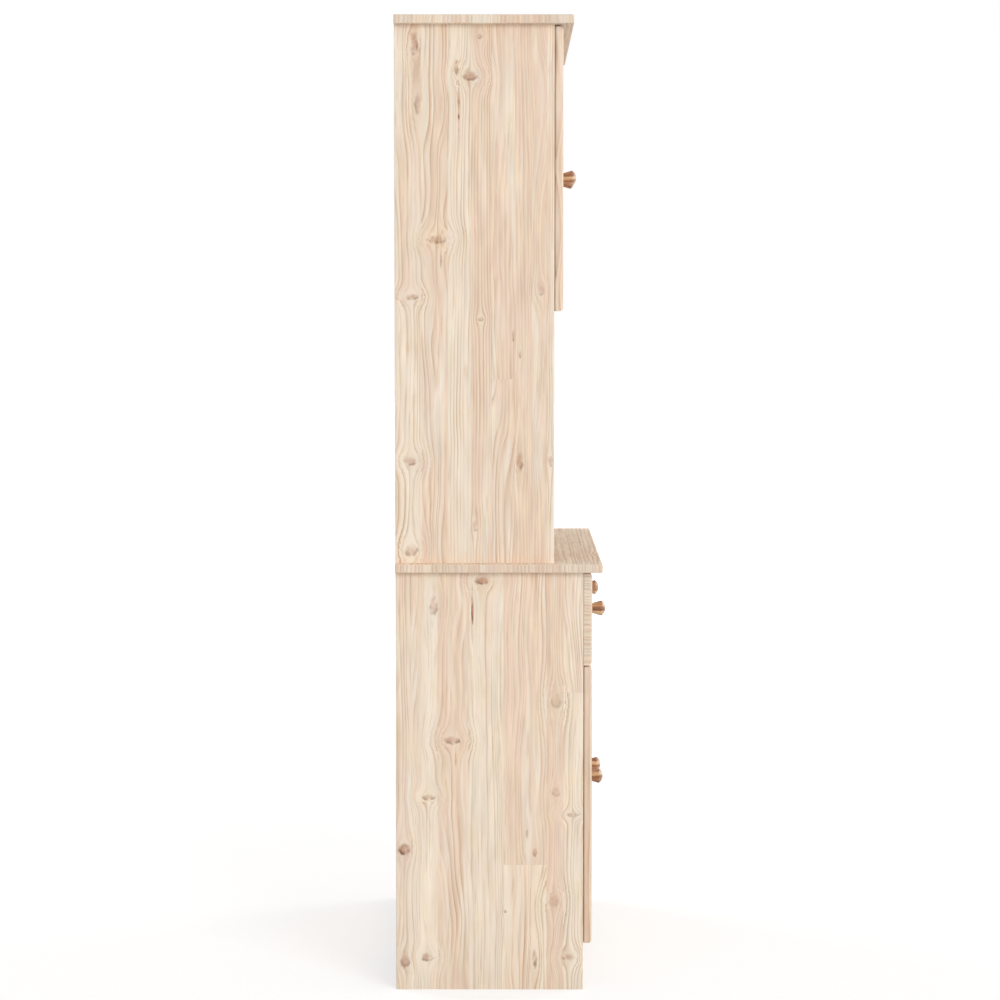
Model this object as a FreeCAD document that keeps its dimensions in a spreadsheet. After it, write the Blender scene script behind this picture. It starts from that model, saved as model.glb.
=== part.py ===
import FreeCAD, Part
import os
import re
import Sketcher

# A highboard of edge-glued pine: a lower cupboard with two drawers over two doors, a deeper worktop,
# and an upper case with an open niche below a two-door cupboard. Sizes are in millimetres.
# X runs along the width, the front faces -Y, Z is up, and the origin is under the middle of the piece.

DIMENSIONS = {
    # Boards of the case
    "overall_width": "770",
    "side_overhang": "20",
    "worktop_depth": "350",
    "top_depth": "300",
    "front_overhang": "32",
    "board_thickness": "15",
    "board_round": "4",
    "board_ease": "1.5",
    "board_corner": "3",
    "lower_height": "715",
    "upper_height": "900",
    "side_ease": "1.5",
    "inner_ease": "1",
    "plinth_lift": "5",
    "plinth_setback": "15",
    "back_thickness": "5",
    "back_recess": "0.8",
    "rebate_width": "8",
    "back_clearance": "0.5",
    # Adjustable shelves on pins, each at a share of its cupboard's door height
    "shelf_clearance": "1",
    "shelf_setback": "20",
    "lower_shelf_level": "0.486",
    "upper_shelf_level": "0.499",
    "pin_radius": "2.5",
    "pin_length": "16",
    "pin_bore": "9",
    "pin_inset": "45",
    # Doors and drawer fronts; the lower doors fill what the drawers leave
    "front_thickness": "14",
    "front_standoff": "0.7",
    "front_inset": "1.5",
    "front_gap": "3",
    "front_round": "6",
    "door_swing_round": "4.2",
    "door_height": "473",
    "door_bottom": "80",
    # Turned knobs and their screws
    "knob_length": "28.5",
    "knob_neck_radius": "7.5",
    "knob_rim_radius": "13.5",
    "knob_rim_level": "21.5",
    "knob_rim_round": "1.5",
    "door_knob_inset": "61",
    "knob_screw_radius": "2",
    "knob_screw_clearance": "0.5",
    "knob_screw_grip": "13",
    "knob_screw_head_radius": "4",
    "knob_screw_head_height": "2.2",
    # Drawer boxes and their wooden runners
    "drawer_rear_room": "32",
    "drawer_side_thickness": "12",
    "drawer_side_height": "112",
    "drawer_headroom": "44",
    "drawer_lift": "8",
    "drawer_bottom_thickness": "4",
    "drawer_bottom_level": "8",
    "drawer_groove": "5",
    "groove_clearance": "0.2",
    "runner_gap": "3",
    "runner_groove": "6",
    "runner_clearance": "0.5",
    "runner_height": "14",
    "runner_level": "56",
    "runner_rear_gap": "18",
    "runner_setback": "12",
    "drawer_dowel_radius": "3",
    "drawer_dowel_inset": "20",
    # Dowels and cam fittings that hold the boards together
    "dowel_radius": "4",
    "dowel_length": "30",
    "dowel_face_depth": "6.8",
    "fit_clearance": "0.05",
    "bore_relief": "0.5",
    "lower_dowel_inset": "40",
    "lower_cam_inset": "75",
    "upper_dowel_inset": "57",
    "upper_cam_inset": "95",
    "divider_dowel_inset": "110",
    "plinth_dowel_level": "22",
    "cam_radius": "7.5",
    "cam_clearance": "0.1",
    "cam_depth": "12",
    "cam_setback": "24",
    "cam_floor": "3",
    "cam_recess": "1.5",
    "cam_recess_length": "9",
    "cam_recess_width": "2",
    "bolt_thread_radius": "3",
    "bolt_shank_radius": "2.2",
    "bolt_head_radius": "3.4",
    "bolt_head_length": "4",
    "bolt_passage_radius": "4",
    # Concealed hinges: a cup let into the door, a pin near the cup's rim, and an arm on a plate
    "hinge_inset": "80",
    "cup_radius": "17.4",
    "cup_depth": "11",
    "cup_wall": "0.7",
    "cup_rim_distance": "3",
    "cup_clearance": "0.1",
    "flange_thickness": "1",
    "flange_reach": "19",
    "flange_start": "3",
    "flange_span": "62",
    "flange_corner": "5",
    "hinge_pin_radius": "1.1",
    "hinge_pin_length": "14.6",
    "hinge_pin_edge": "6.2",
    "hinge_pin_depth": "8.1",
    "hinge_running_clearance": "0.05",
    "eye_radius": "1.9",
    "eye_height": "5",
    "arm_sheet": "1.6",
    "arm_bend": "2.4",
    "arm_length": "58",
    "arm_channel_start": "6",
    "arm_channel_width": "12",
    "arm_channel_height": "7.5",
    "arm_channel_wall": "1.4",
    "plate_thickness": "2",
    "plate_start": "18",
    "plate_wing_start": "30",
    "plate_wing_width": "14",
    "plate_wing_span": "48",
    "plate_ease": "0.8",
    "plate_block_start": "24",
    "plate_block_clearance": "0.3",
}

doc = FreeCAD.newDocument("Highboard")
sheet = doc.addObject("Spreadsheet::Sheet", "Dims")
for row, (alias, number) in enumerate(DIMENSIONS.items(), start=1):
    sheet.set(f"A{row}", alias)
    sheet.set(f"B{row}", number)
    sheet.setAlias(f"B{row}", alias)
doc.recompute()

# Lengths and levels worked out from the driving dimensions
BODY_HALF = "(overall_width / 2 - side_overhang)"
INNER_HALF = f"({BODY_HALF} - board_thickness)"
INNER_WIDTH = f"(2 * {INNER_HALF})"
LOWER_DEPTH = "(worktop_depth - front_overhang)"
UPPER_DEPTH = "(top_depth - front_overhang)"
BACK = f"(({LOWER_DEPTH} + front_standoff + front_thickness + knob_length) / 2)"
LOWER_FRONT = f"({BACK} - {LOWER_DEPTH})"
UPPER_FRONT = f"({BACK} - {UPPER_DEPTH})"
REBATE_DEPTH = "(back_thickness + back_recess)"
LOWER_INNER_DEPTH = f"({LOWER_DEPTH} - {REBATE_DEPTH})"
UPPER_INNER_DEPTH = f"({UPPER_DEPTH} - {REBATE_DEPTH})"
UPPER_BASE = "(lower_height + board_thickness)"
TOP_BASE = f"({UPPER_BASE} + upper_height)"
UPPER_DOOR_BASE = f"({TOP_BASE} - front_gap - door_height)"
DRAWER_FRONT_HEIGHT = "(drawer_side_height + drawer_headroom)"
DRAWER_FRONT_BASE = f"(lower_height - front_gap - {DRAWER_FRONT_HEIGHT})"
LOWER_DOOR_HEIGHT = f"({DRAWER_FRONT_BASE} - front_gap - door_bottom)"
LOWER_SHELF_BASE = f"(door_bottom + lower_shelf_level * {LOWER_DOOR_HEIGHT})"
UPPER_SHELF_BASE = f"({UPPER_DOOR_BASE} + upper_shelf_level * door_height)"
DRAWER_BOARD_BASE = f"({DRAWER_FRONT_BASE} - front_gap / 2 - board_thickness / 2)"
DRAWER_BOARD_TOP = f"({DRAWER_BOARD_BASE} + board_thickness)"
FRONT_WIDTH = f"({BODY_HALF} - front_inset - front_gap / 2)"
BOX_WIDTH = f"({INNER_HALF} - board_thickness / 2 - 2 * runner_gap)"
BOX_BASE = f"({DRAWER_BOARD_TOP} + drawer_lift)"
BOX_LENGTH = f"({LOWER_INNER_DEPTH} - drawer_rear_room)"
RUNNER_LENGTH = f"({BOX_LENGTH} - runner_setback - runner_rear_gap)"
BOARD_MIDDLE = "(board_thickness / 2)"
SIDE_MIDDLE = f"({BODY_HALF} - {BOARD_MIDDLE})"
DOWEL_BORE = "(dowel_radius + fit_clearance)"
DOWEL_FACE_BORE = "(dowel_face_depth + bore_relief)"
DOWEL_EDGE_BORE = "(dowel_length - dowel_face_depth + bore_relief)"
BOLT_BORE = "(bolt_thread_radius + fit_clearance)"
BOLT_REACH = "(cam_setback + bolt_head_length / 2)"
CAM_BORE = "(cam_radius + cam_clearance)"
CAM_BORE_DEPTH = "(cam_depth + bore_relief)"
KNOB_SCREW_BORE = "(knob_screw_radius + knob_screw_clearance)"

X_AXIS = FreeCAD.Vector(1, 0, 0)
Y_AXIS = FreeCAD.Vector(0, 1, 0)
Z_AXIS = FreeCAD.Vector(0, 0, 1)
# Points nearer than this count as one when edges are picked
SAME_PLACE = 0.01
nodes = []


def cells(expression):
    """Write each size name in an expression as a cell of the sheet."""
    return re.sub(r"[a-z][a-z_]*", r"Dims.\g<0>", expression)


def bind(thing, path, expression):
    thing.setExpression(path, cells(expression))


def turned(x_axis, z_axis):
    """The rotation that lays a piece's own X and Z along the given directions."""
    return FreeCAD.Rotation(x_axis, z_axis.cross(x_axis), z_axis, "ZXY")


UP = turned(X_AXIS, Z_AXIS)
DOWN = turned(X_AXIS, -Z_AXIS)
RIGHTWARD = turned(-Z_AXIS, X_AXIS)
LEFTWARD = turned(Z_AXIS, -X_AXIS)
FORWARD = turned(X_AXIS, -Y_AXIS)
HALF_TURN = turned(-X_AXIS, Z_AXIS)


def put(thing, place, rotation=UP):
    """Place an object at three expressions, turned by a rotation."""
    thing.Placement = FreeCAD.Placement(FreeCAD.Vector(), rotation)
    for axis, expression in zip("xyz", place):
        bind(thing, f"Placement.Base.{axis}", expression)


def new_body(label):
    body = doc.addObject("PartDesign::Body", "Body")
    body.Label = label
    return body


def node(thing):
    """Count an object as one of the pieces of the highboard."""
    nodes.append(thing)
    return thing


def new_sketch(body, role, offset="0"):
    """A sketch on one of the body's own origin planes, lifted by an offset along the plane's normal."""
    sketch = body.newObject("Sketcher::SketchObject", "Sketch")
    plane = next(item for item in body.Origin.OriginFeatures if item.Role == role)
    sketch.AttachmentSupport = [(plane, "")]
    sketch.MapMode = "FlatFace"
    bind(sketch, "AttachmentOffset.Base.z", offset)
    return sketch


def measure(sketch, kind, ends, expression):
    """One distance or radius of a sketch, taken from the sheet."""
    index = sketch.addConstraint(Sketcher.Constraint(kind, *ends, 10.0))
    name = f"measure_{index}"
    sketch.renameConstraint(index, name)
    bind(sketch, f"Constraints.{name}", expression)


def locate(sketch, geometry, point, across, up):
    """Fix a point of a sketch by its two distances from the origin."""
    for kind, axis, expression in (("DistanceX", -2, across), ("DistanceY", -1, up)):
        if expression == "0":
            sketch.addConstraint(Sketcher.Constraint("PointOnObject", geometry, point, axis))
        elif expression.startswith("-"):
            measure(sketch, kind, (geometry, point, -1, 1), expression[1:])
        else:
            measure(sketch, kind, (-1, 1, geometry, point), expression)


def outline(sketch, corners):
    """A closed outline of straight lines through corners given as pairs of expressions."""
    first = sketch.GeometryCount
    count = len(corners)
    for index in range(count):
        start = FreeCAD.Vector(index, index * index, 0)
        end = FreeCAD.Vector(index + 1, (index + 1) ** 2, 0)
        sketch.addGeometry(Part.LineSegment(start, end), False)
    for index in range(count):
        following = first + (index + 1) % count
        sketch.addConstraint(Sketcher.Constraint("Coincident", first + index, 2, following, 1))
    for index, (across, up) in enumerate(corners):
        locate(sketch, first + index, 1, across, up)


def rectangle(sketch, left, low, right, high):
    outline(sketch, [(left, low), (right, low), (right, high), (left, high)])


def circle(sketch, across, up, radius):
    """A circle at a place, both given as expressions."""
    index = sketch.addGeometry(Part.Circle(FreeCAD.Vector(10, 10, 0), Z_AXIS, 3), False)
    locate(sketch, index, 3, across, up)
    measure(sketch, "Radius", (index,), radius)


def pad(body, sketch, length, symmetric=False, reverse=False):
    feature = body.newObject("PartDesign::Pad", "Pad")
    feature.Profile = sketch
    feature.SideType = "Symmetric" if symmetric else "One side"
    feature.Reversed = reverse
    bind(feature, "Length", length)
    doc.recompute()


def pocket(body, sketch, depth, symmetric=False, reverse=False):
    """Cut a sketch into the body and make sure that something was removed."""
    before = body.Shape.Volume
    feature = body.newObject("PartDesign::Pocket", "Pocket")
    feature.Profile = sketch
    feature.SideType = "Symmetric" if symmetric else "One side"
    feature.Reversed = reverse
    bind(feature, "Length", depth)
    doc.recompute()
    if not body.Shape.Volume < before:
        raise RuntimeError(f"a cut in {body.Label} removed nothing")


def revolve(body, sketch):
    """Turn a profile about its sketch's upright axis."""
    feature = body.newObject("PartDesign::Revolution", "Revolution")
    feature.Profile = sketch
    feature.ReferenceAxis = (sketch, ["V_Axis"])
    feature.Angle = 360
    doc.recompute()


def near(first, second):
    return abs(first - second) < SAME_PLACE


def edges_on(shape, pairs):
    """Names of the edges that lie on both sides of each pair, such as top and front."""
    corners = [vertex.Point for vertex in shape.Vertexes]
    sides = {}
    for axis, (low_side, high_side) in enumerate((("left", "right"), ("front", "back"), ("bottom", "top"))):
        levels = [corner[axis] for corner in corners]
        sides[low_side] = (axis, min(levels))
        sides[high_side] = (axis, max(levels))
    names = []
    for number, edge in enumerate(shape.Edges, start=1):
        ends = [vertex.Point for vertex in edge.Vertexes]
        for pair in pairs:
            planes = [sides[side] for side in pair]
            if all(near(end[axis], level) for end in ends for axis, level in planes):
                names.append(f"Edge{number}")
    return names


def round_edges(body, names, radius):
    """Round the named edges of the body."""
    base = body.Tip
    feature = body.newObject("PartDesign::Fillet", "Fillet")
    feature.Base = (base, names)
    bind(feature, "Radius", radius)
    doc.recompute()


def soften(body, pairs, radius):
    """Round the body's edges on the named pairs of sides."""
    round_edges(body, edges_on(body.Tip.Shape, pairs), radius)


def board(label, size, corner):
    """A rectangular board from its lower left front corner, which is also its own origin."""
    width, depth, height = size
    body = new_body(label)
    sketch = new_sketch(body, "XY_Plane")
    rectangle(sketch, "0", "0", width, depth)
    pad(body, sketch, height)
    put(body, corner)
    body.addProperty("App::PropertyStringList", "Sizes")
    body.Sizes = [width, depth, height]
    return body


def face_sketch(body, side):
    """A sketch on one side of a board, and whether a cut into the board runs along its normal."""
    width, depth, height = body.Sizes
    role, offset, along_normal = {
        "left": ("YZ_Plane", "0", True),
        "right": ("YZ_Plane", width, False),
        "front": ("XZ_Plane", "0", False),
        "back": ("XZ_Plane", f"0 - {depth}", True),
        "bottom": ("XY_Plane", "0", True),
        "top": ("XY_Plane", height, False),
    }[side]
    return new_sketch(body, role, offset), along_normal


def drill(body, side, centres, radius, depth):
    """Round holes into one side of a board."""
    sketch, along_normal = face_sketch(body, side)
    for across, up in centres:
        circle(sketch, across, up, radius)
    pocket(body, sketch, depth, reverse=along_normal)


def groove(body, side, corners, depth):
    """A rectangular groove or rebate into one side of a board."""
    sketch, along_normal = face_sketch(body, side)
    rectangle(sketch, *corners)
    pocket(body, sketch, depth, reverse=along_normal)


def copies(label, template, places):
    """One piece for a set of equal fittings, each a copy of the template at its own place."""
    links = []
    for place, rotation in places:
        link = doc.addObject("App::Link", "Copy")
        link.LinkedObject = template
        put(link, place, rotation)
        links.append(link)
    group = doc.addObject("Part::Compound", "Group")
    group.Label = label
    group.Links = links
    return node(group)


def both_ends(depth, inset):
    """The two places along a depth that lie one inset from its ends."""
    return [inset, f"({depth} - {inset})"]


LOWER_DOWELS = both_ends(LOWER_DEPTH, "lower_dowel_inset")
LOWER_CAMS = both_ends(LOWER_DEPTH, "lower_cam_inset")
UPPER_DOWELS = both_ends(UPPER_DEPTH, "upper_dowel_inset")
UPPER_CAMS = both_ends(UPPER_DEPTH, "upper_cam_inset")
DIVIDER_DOWELS = both_ends(LOWER_INNER_DEPTH, "divider_dowel_inset")
LOWER_PINS = both_ends(LOWER_DEPTH, "pin_inset")
UPPER_PINS = both_ends(UPPER_DEPTH, "pin_inset")
PLINTH_MIDDLE = f"(plinth_setback + {BOARD_MIDDLE})"
PLINTH_DOWELS = both_ends("(door_bottom + plinth_lift)", "plinth_dowel_level")
HANDS = {"left": "-", "right": ""}


def side_panel(hand, level, height, depth, front, base):
    """An upright side with a rebate for the back panel along its inner rear edge."""
    left = hand == "left"
    corner_x = f"-{BODY_HALF}" if left else INNER_HALF
    body = board(f"{level}_{hand}_side", ("board_thickness", depth, height), (corner_x, front, base))
    soften(body, [("front", "left"), ("front", "right"), ("back", hand)], "side_ease")
    rebate_start = "(board_thickness - rebate_width)" if left else "0"
    rebate_end = "board_thickness" if left else "rebate_width"
    groove(body, "bottom", (rebate_start, f"({depth} - {REBATE_DEPTH})", rebate_end, depth), height)
    return node(body)


def fit_side_end(body, hand, end, height, dowels, cams):
    """Dowel holes, bolt passages and cam bores for a joint at the top or bottom end of a side."""
    inner_face = "right" if hand == "left" else "left"
    cam_level = f"({height} - cam_setback)" if end == "top" else "cam_setback"
    drill(body, end, [(BOARD_MIDDLE, along) for along in dowels], DOWEL_BORE, DOWEL_EDGE_BORE)
    drill(body, end, [(BOARD_MIDDLE, along) for along in cams], "bolt_passage_radius", BOLT_REACH)
    drill(body, inner_face, [(along, cam_level) for along in cams], CAM_BORE, CAM_BORE_DEPTH)


def fit_side_face(body, hand, level, dowels, cams):
    """Holes in a side's inner face that take the dowels and bolts of one horizontal board."""
    inner_face = "right" if hand == "left" else "left"
    drill(body, inner_face, [(along, level) for along in dowels], DOWEL_BORE, DOWEL_FACE_BORE)
    drill(body, inner_face, [(along, level) for along in cams], BOLT_BORE, DOWEL_FACE_BORE)


def fit_pins(body, hand, level, pins):
    """Holes for the two shelf pins in a side's inner face, just under the shelf."""
    inner_face = "right" if hand == "left" else "left"
    centres = [(along, f"({level} - pin_radius)") for along in pins]
    drill(body, inner_face, centres, "(pin_radius + fit_clearance)", "(pin_bore + bore_relief)")


def make_sides():
    for hand in HANDS:
        inner_face = "right" if hand == "left" else "left"
        lower = side_panel(hand, "lower", "lower_height", LOWER_DEPTH, LOWER_FRONT, "0")
        for base in ("door_bottom", DRAWER_BOARD_BASE):
            fit_side_face(lower, hand, f"({base} + {BOARD_MIDDLE})", LOWER_DOWELS, LOWER_CAMS)
        plinth_centres = [(PLINTH_MIDDLE, level) for level in PLINTH_DOWELS]
        drill(lower, inner_face, plinth_centres, DOWEL_BORE, DOWEL_FACE_BORE)
        fit_side_end(lower, hand, "top", "lower_height", LOWER_DOWELS, LOWER_CAMS)
        fit_pins(lower, hand, LOWER_SHELF_BASE, LOWER_PINS)

        upper = side_panel(hand, "upper", "upper_height", UPPER_DEPTH, UPPER_FRONT, UPPER_BASE)
        floor_level = f"({UPPER_DOOR_BASE} + {BOARD_MIDDLE} - {UPPER_BASE})"
        fit_side_face(upper, hand, floor_level, UPPER_DOWELS, UPPER_CAMS)
        for end in ("top", "bottom"):
            fit_side_end(upper, hand, end, "upper_height", UPPER_DOWELS, UPPER_CAMS)
        fit_pins(upper, hand, f"({UPPER_SHELF_BASE} - {UPPER_BASE})", UPPER_PINS)


def fixed_board(label, depth, front, base, dowels, cams):
    """A horizontal board between the sides, held by dowels and by cams in its underside."""
    body = board(label, (INNER_WIDTH, depth, "board_thickness"), (f"-{INNER_HALF}", front, base))
    soften(body, [("front", "top"), ("front", "bottom")], "inner_ease")
    for end in ("left", "right"):
        cam_across = "cam_setback" if end == "left" else f"({INNER_WIDTH} - cam_setback)"
        drill(body, end, [(along, BOARD_MIDDLE) for along in dowels], DOWEL_BORE, DOWEL_EDGE_BORE)
        drill(body, end, [(along, BOARD_MIDDLE) for along in cams], "bolt_passage_radius", BOLT_REACH)
        drill(body, "bottom", [(cam_across, along) for along in cams], CAM_BORE, CAM_BORE_DEPTH)
    return node(body)


def overhanging_board(label, depth, base):
    """A worktop or top board with rounded upper edges, flush with the sides at the back."""
    size = ("overall_width", depth, "board_thickness")
    body = board(label, size, ("-overall_width / 2", f"{BACK} - {depth}", base))
    soften(body, [("front", "left"), ("front", "right")], "board_corner")
    soften(body, [("front", "top")], "board_round")
    soften(body, [("front", "bottom")], "board_ease")
    return node(body)


def fit_overhanging(body, side, depth, case_depth, dowels, cams):
    """Dowel and bolt holes over or under the ends of the two sides."""
    middle = f"(side_overhang + {BOARD_MIDDLE})"
    step = f"({depth} - {case_depth})"
    for across in (middle, f"(overall_width - {middle})"):
        dowel_centres = [(across, f"({step} + {along})") for along in dowels]
        bolt_centres = [(across, f"({step} + {along})") for along in cams]
        drill(body, side, dowel_centres, DOWEL_BORE, DOWEL_FACE_BORE)
        drill(body, side, bolt_centres, BOLT_BORE, DOWEL_FACE_BORE)


def make_boards():
    fixed_board("bottom_board", LOWER_INNER_DEPTH, LOWER_FRONT, "door_bottom", LOWER_DOWELS, LOWER_CAMS)
    drawer_board = fixed_board(
        "drawer_board", LOWER_INNER_DEPTH, LOWER_FRONT, DRAWER_BOARD_BASE, LOWER_DOWELS, LOWER_CAMS)
    divider_centres = [(INNER_HALF, along) for along in DIVIDER_DOWELS]
    drill(drawer_board, "top", divider_centres, DOWEL_BORE, DOWEL_FACE_BORE)
    fixed_board("cupboard_floor", UPPER_INNER_DEPTH, UPPER_FRONT, UPPER_DOOR_BASE, UPPER_DOWELS, UPPER_CAMS)

    worktop = overhanging_board("worktop", "worktop_depth", "lower_height")
    fit_overhanging(worktop, "bottom", "worktop_depth", LOWER_DEPTH, LOWER_DOWELS, LOWER_CAMS)
    fit_overhanging(worktop, "top", "worktop_depth", UPPER_DEPTH, UPPER_DOWELS, UPPER_CAMS)
    worktop_centres = [("overall_width / 2", f"(front_overhang + {along})") for along in DIVIDER_DOWELS]
    drill(worktop, "bottom", worktop_centres, DOWEL_BORE, DOWEL_FACE_BORE)
    top = overhanging_board("top_board", "top_depth", TOP_BASE)
    fit_overhanging(top, "bottom", "top_depth", UPPER_DEPTH, UPPER_DOWELS, UPPER_CAMS)

    plinth_size = (INNER_WIDTH, "board_thickness", "(door_bottom - plinth_lift)")
    plinth_corner = (f"-{INNER_HALF}", f"{LOWER_FRONT} + plinth_setback", "plinth_lift")
    plinth = node(board("plinth_rail", plinth_size, plinth_corner))
    soften(plinth, [("front", "bottom")], "inner_ease")
    plinth_centres = [(BOARD_MIDDLE, f"({level} - plinth_lift)") for level in PLINTH_DOWELS]
    for end in ("left", "right"):
        drill(plinth, end, plinth_centres, DOWEL_BORE, DOWEL_EDGE_BORE)

    divider_height = f"(lower_height - {DRAWER_BOARD_TOP})"
    divider_size = ("board_thickness", LOWER_INNER_DEPTH, divider_height)
    divider_corner = (f"-{BOARD_MIDDLE}", LOWER_FRONT, DRAWER_BOARD_TOP)
    divider = node(board("drawer_divider", divider_size, divider_corner))
    soften(divider, [("front", "left"), ("front", "right")], "inner_ease")
    for end in ("top", "bottom"):
        drill(divider, end, [(BOARD_MIDDLE, along) for along in DIVIDER_DOWELS], DOWEL_BORE, DOWEL_EDGE_BORE)


def make_backs():
    reach = f"({INNER_HALF} + rebate_width - back_clearance)"
    spans = {
        "lower_back_panel": ("door_bottom", "(lower_height - door_bottom)"),
        "upper_back_panel": (UPPER_BASE, "upper_height"),
    }
    for label, (base, height) in spans.items():
        size = (f"(2 * {reach})", "back_thickness", height)
        node(board(label, size, (f"-{reach}", f"{BACK} - {REBATE_DEPTH}", base)))


def make_shelves():
    half = f"({INNER_HALF} - shelf_clearance)"
    rows = (
        ("lower", LOWER_FRONT, LOWER_INNER_DEPTH, LOWER_SHELF_BASE),
        ("upper", UPPER_FRONT, UPPER_INNER_DEPTH, UPPER_SHELF_BASE),
    )
    for level, front, depth, base in rows:
        size = (f"(2 * {half})", f"({depth} - shelf_clearance - shelf_setback)", "board_thickness")
        body = board(f"{level}_shelf", size, (f"-{half}", f"{front} + shelf_setback", base))
        soften(body, [("front", "top"), ("front", "bottom")], "inner_ease")
        node(body)


def round_template(label, steps):
    """A turned fitting along its own Z, as steps of radius and length from its foot."""
    body = new_body(label)
    sketch = new_sketch(body, "XZ_Plane")
    corners = [("0", "0")]
    level = "0"
    for radius, length in steps:
        corners.append((radius, level))
        level = length if level == "0" else f"({level} + {length})"
        corners.append((radius, level))
    corners.append(("0", level))
    outline(sketch, corners)
    revolve(body, sketch)
    return body


def joint_places(depth_into_face):
    """Feet and directions of the fittings of every joint between a board's end and another's face."""

    def across(front, base, along_list):
        level = f"{base} + {BOARD_MIDDLE}"
        for along in along_list:
            yield (f"-({INNER_HALF} + {depth_into_face})", f"{front} + {along}", level), RIGHTWARD
            yield (f"{INNER_HALF} + {depth_into_face}", f"{front} + {along}", level), LEFTWARD

    def upright(front, foot, rotation, along_list):
        for sign in HANDS.values():
            for along in along_list:
                yield (f"{sign}{SIDE_MIDDLE}", f"{front} + {along}", foot), rotation

    return across, upright


def make_dowels():
    template = round_template("dowel_pattern", [("dowel_radius", "dowel_length")])
    across, upright = joint_places("dowel_face_depth")
    places = []
    for base in ("door_bottom", DRAWER_BOARD_BASE):
        places += across(LOWER_FRONT, base, LOWER_DOWELS)
    places += across(UPPER_FRONT, UPPER_DOOR_BASE, UPPER_DOWELS)
    for level in PLINTH_DOWELS:
        places += across(LOWER_FRONT, f"({level} - {BOARD_MIDDLE})", [PLINTH_MIDDLE])
    places += upright(LOWER_FRONT, "lower_height + dowel_face_depth", DOWN, LOWER_DOWELS)
    places += upright(UPPER_FRONT, f"{UPPER_BASE} - dowel_face_depth", UP, UPPER_DOWELS)
    places += upright(UPPER_FRONT, f"{TOP_BASE} + dowel_face_depth", DOWN, UPPER_DOWELS)
    for along in DIVIDER_DOWELS:
        places.append((("0", f"{LOWER_FRONT} + {along}", "lower_height + dowel_face_depth"), DOWN))
        places.append((("0", f"{LOWER_FRONT} + {along}", f"{DRAWER_BOARD_TOP} - dowel_face_depth"), UP))
    copies("dowels", template, places)


def make_cam_bolts():
    shank = "(cam_setback - bolt_head_length / 2)"
    steps = [("bolt_thread_radius", "dowel_face_depth"), ("bolt_shank_radius", shank)]
    steps.append(("bolt_head_radius", "bolt_head_length"))
    template = round_template("cam_bolt_pattern", steps)
    across, upright = joint_places("dowel_face_depth")
    places = []
    for base in ("door_bottom", DRAWER_BOARD_BASE):
        places += across(LOWER_FRONT, base, LOWER_CAMS)
    places += across(UPPER_FRONT, UPPER_DOOR_BASE, UPPER_CAMS)
    places += upright(LOWER_FRONT, "lower_height + dowel_face_depth", DOWN, LOWER_CAMS)
    places += upright(UPPER_FRONT, f"{UPPER_BASE} - dowel_face_depth", UP, UPPER_CAMS)
    places += upright(UPPER_FRONT, f"{TOP_BASE} + dowel_face_depth", DOWN, UPPER_CAMS)
    copies("cam_bolts", template, places)


def make_cam_locks():
    template = new_body("cam_lock_pattern")
    disc = new_sketch(template, "XY_Plane")
    circle(disc, "0", "0", "cam_radius")
    pad(template, disc, "cam_depth")
    slot = new_sketch(template, "XY_Plane", "cam_depth")
    half = "bolt_passage_radius"
    rectangle(slot, "-cam_radius", f"-{half}", half, half)
    pocket(template, slot, "(cam_depth - cam_floor)")
    half_length = "cam_recess_length / 2"
    half_width = "cam_recess_width / 2"
    for reach, width in ((half_length, half_width), (half_width, half_length)):
        recess = new_sketch(template, "XY_Plane")
        rectangle(recess, f"-{reach}", f"-{width}", reach, width)
        pocket(template, recess, "cam_recess", reverse=True)
    places = []

    def under_board(front, base, along_list):
        for along in along_list:
            places.append(((f"-({INNER_HALF} - cam_setback)", f"{front} + {along}", base), UP))
            places.append(((f"{INNER_HALF} - cam_setback", f"{front} + {along}", base), HALF_TURN))

    def in_side(front, level, towards_end, along_list):
        for sign, into in (("-", -X_AXIS), ("", X_AXIS)):
            for along in along_list:
                place = (f"{sign}{INNER_HALF}", f"{front} + {along}", level)
                places.append((place, turned(-towards_end, into)))

    for base in ("door_bottom", DRAWER_BOARD_BASE):
        under_board(LOWER_FRONT, base, LOWER_CAMS)
    under_board(UPPER_FRONT, UPPER_DOOR_BASE, UPPER_CAMS)
    in_side(LOWER_FRONT, "lower_height - cam_setback", Z_AXIS, LOWER_CAMS)
    in_side(UPPER_FRONT, f"{UPPER_BASE} + cam_setback", -Z_AXIS, UPPER_CAMS)
    in_side(UPPER_FRONT, f"{TOP_BASE} - cam_setback", Z_AXIS, UPPER_CAMS)
    copies("cam_locks", template, places)


def make_shelf_pins():
    template = round_template("shelf_pin_pattern", [("pin_radius", "pin_length")])
    places = []
    rows = ((LOWER_SHELF_BASE, LOWER_FRONT, LOWER_PINS), (UPPER_SHELF_BASE, UPPER_FRONT, UPPER_PINS))
    for base, front, pins in rows:
        for along in pins:
            height = f"{base} - pin_radius"
            places.append(((f"-({INNER_HALF} + pin_bore)", f"{front} + {along}", height), RIGHTWARD))
            places.append(((f"{INNER_HALF} + pin_bore", f"{front} + {along}", height), LEFTWARD))
    copies("shelf_pins", template, places)


def edges_through(shape, test):
    """Names of the edges whose every end point passes a test."""
    names = []
    for number, edge in enumerate(shape.Edges, start=1):
        if all(test(vertex.Point) for vertex in edge.Vertexes):
            names.append(f"Edge{number}")
    return names


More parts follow.
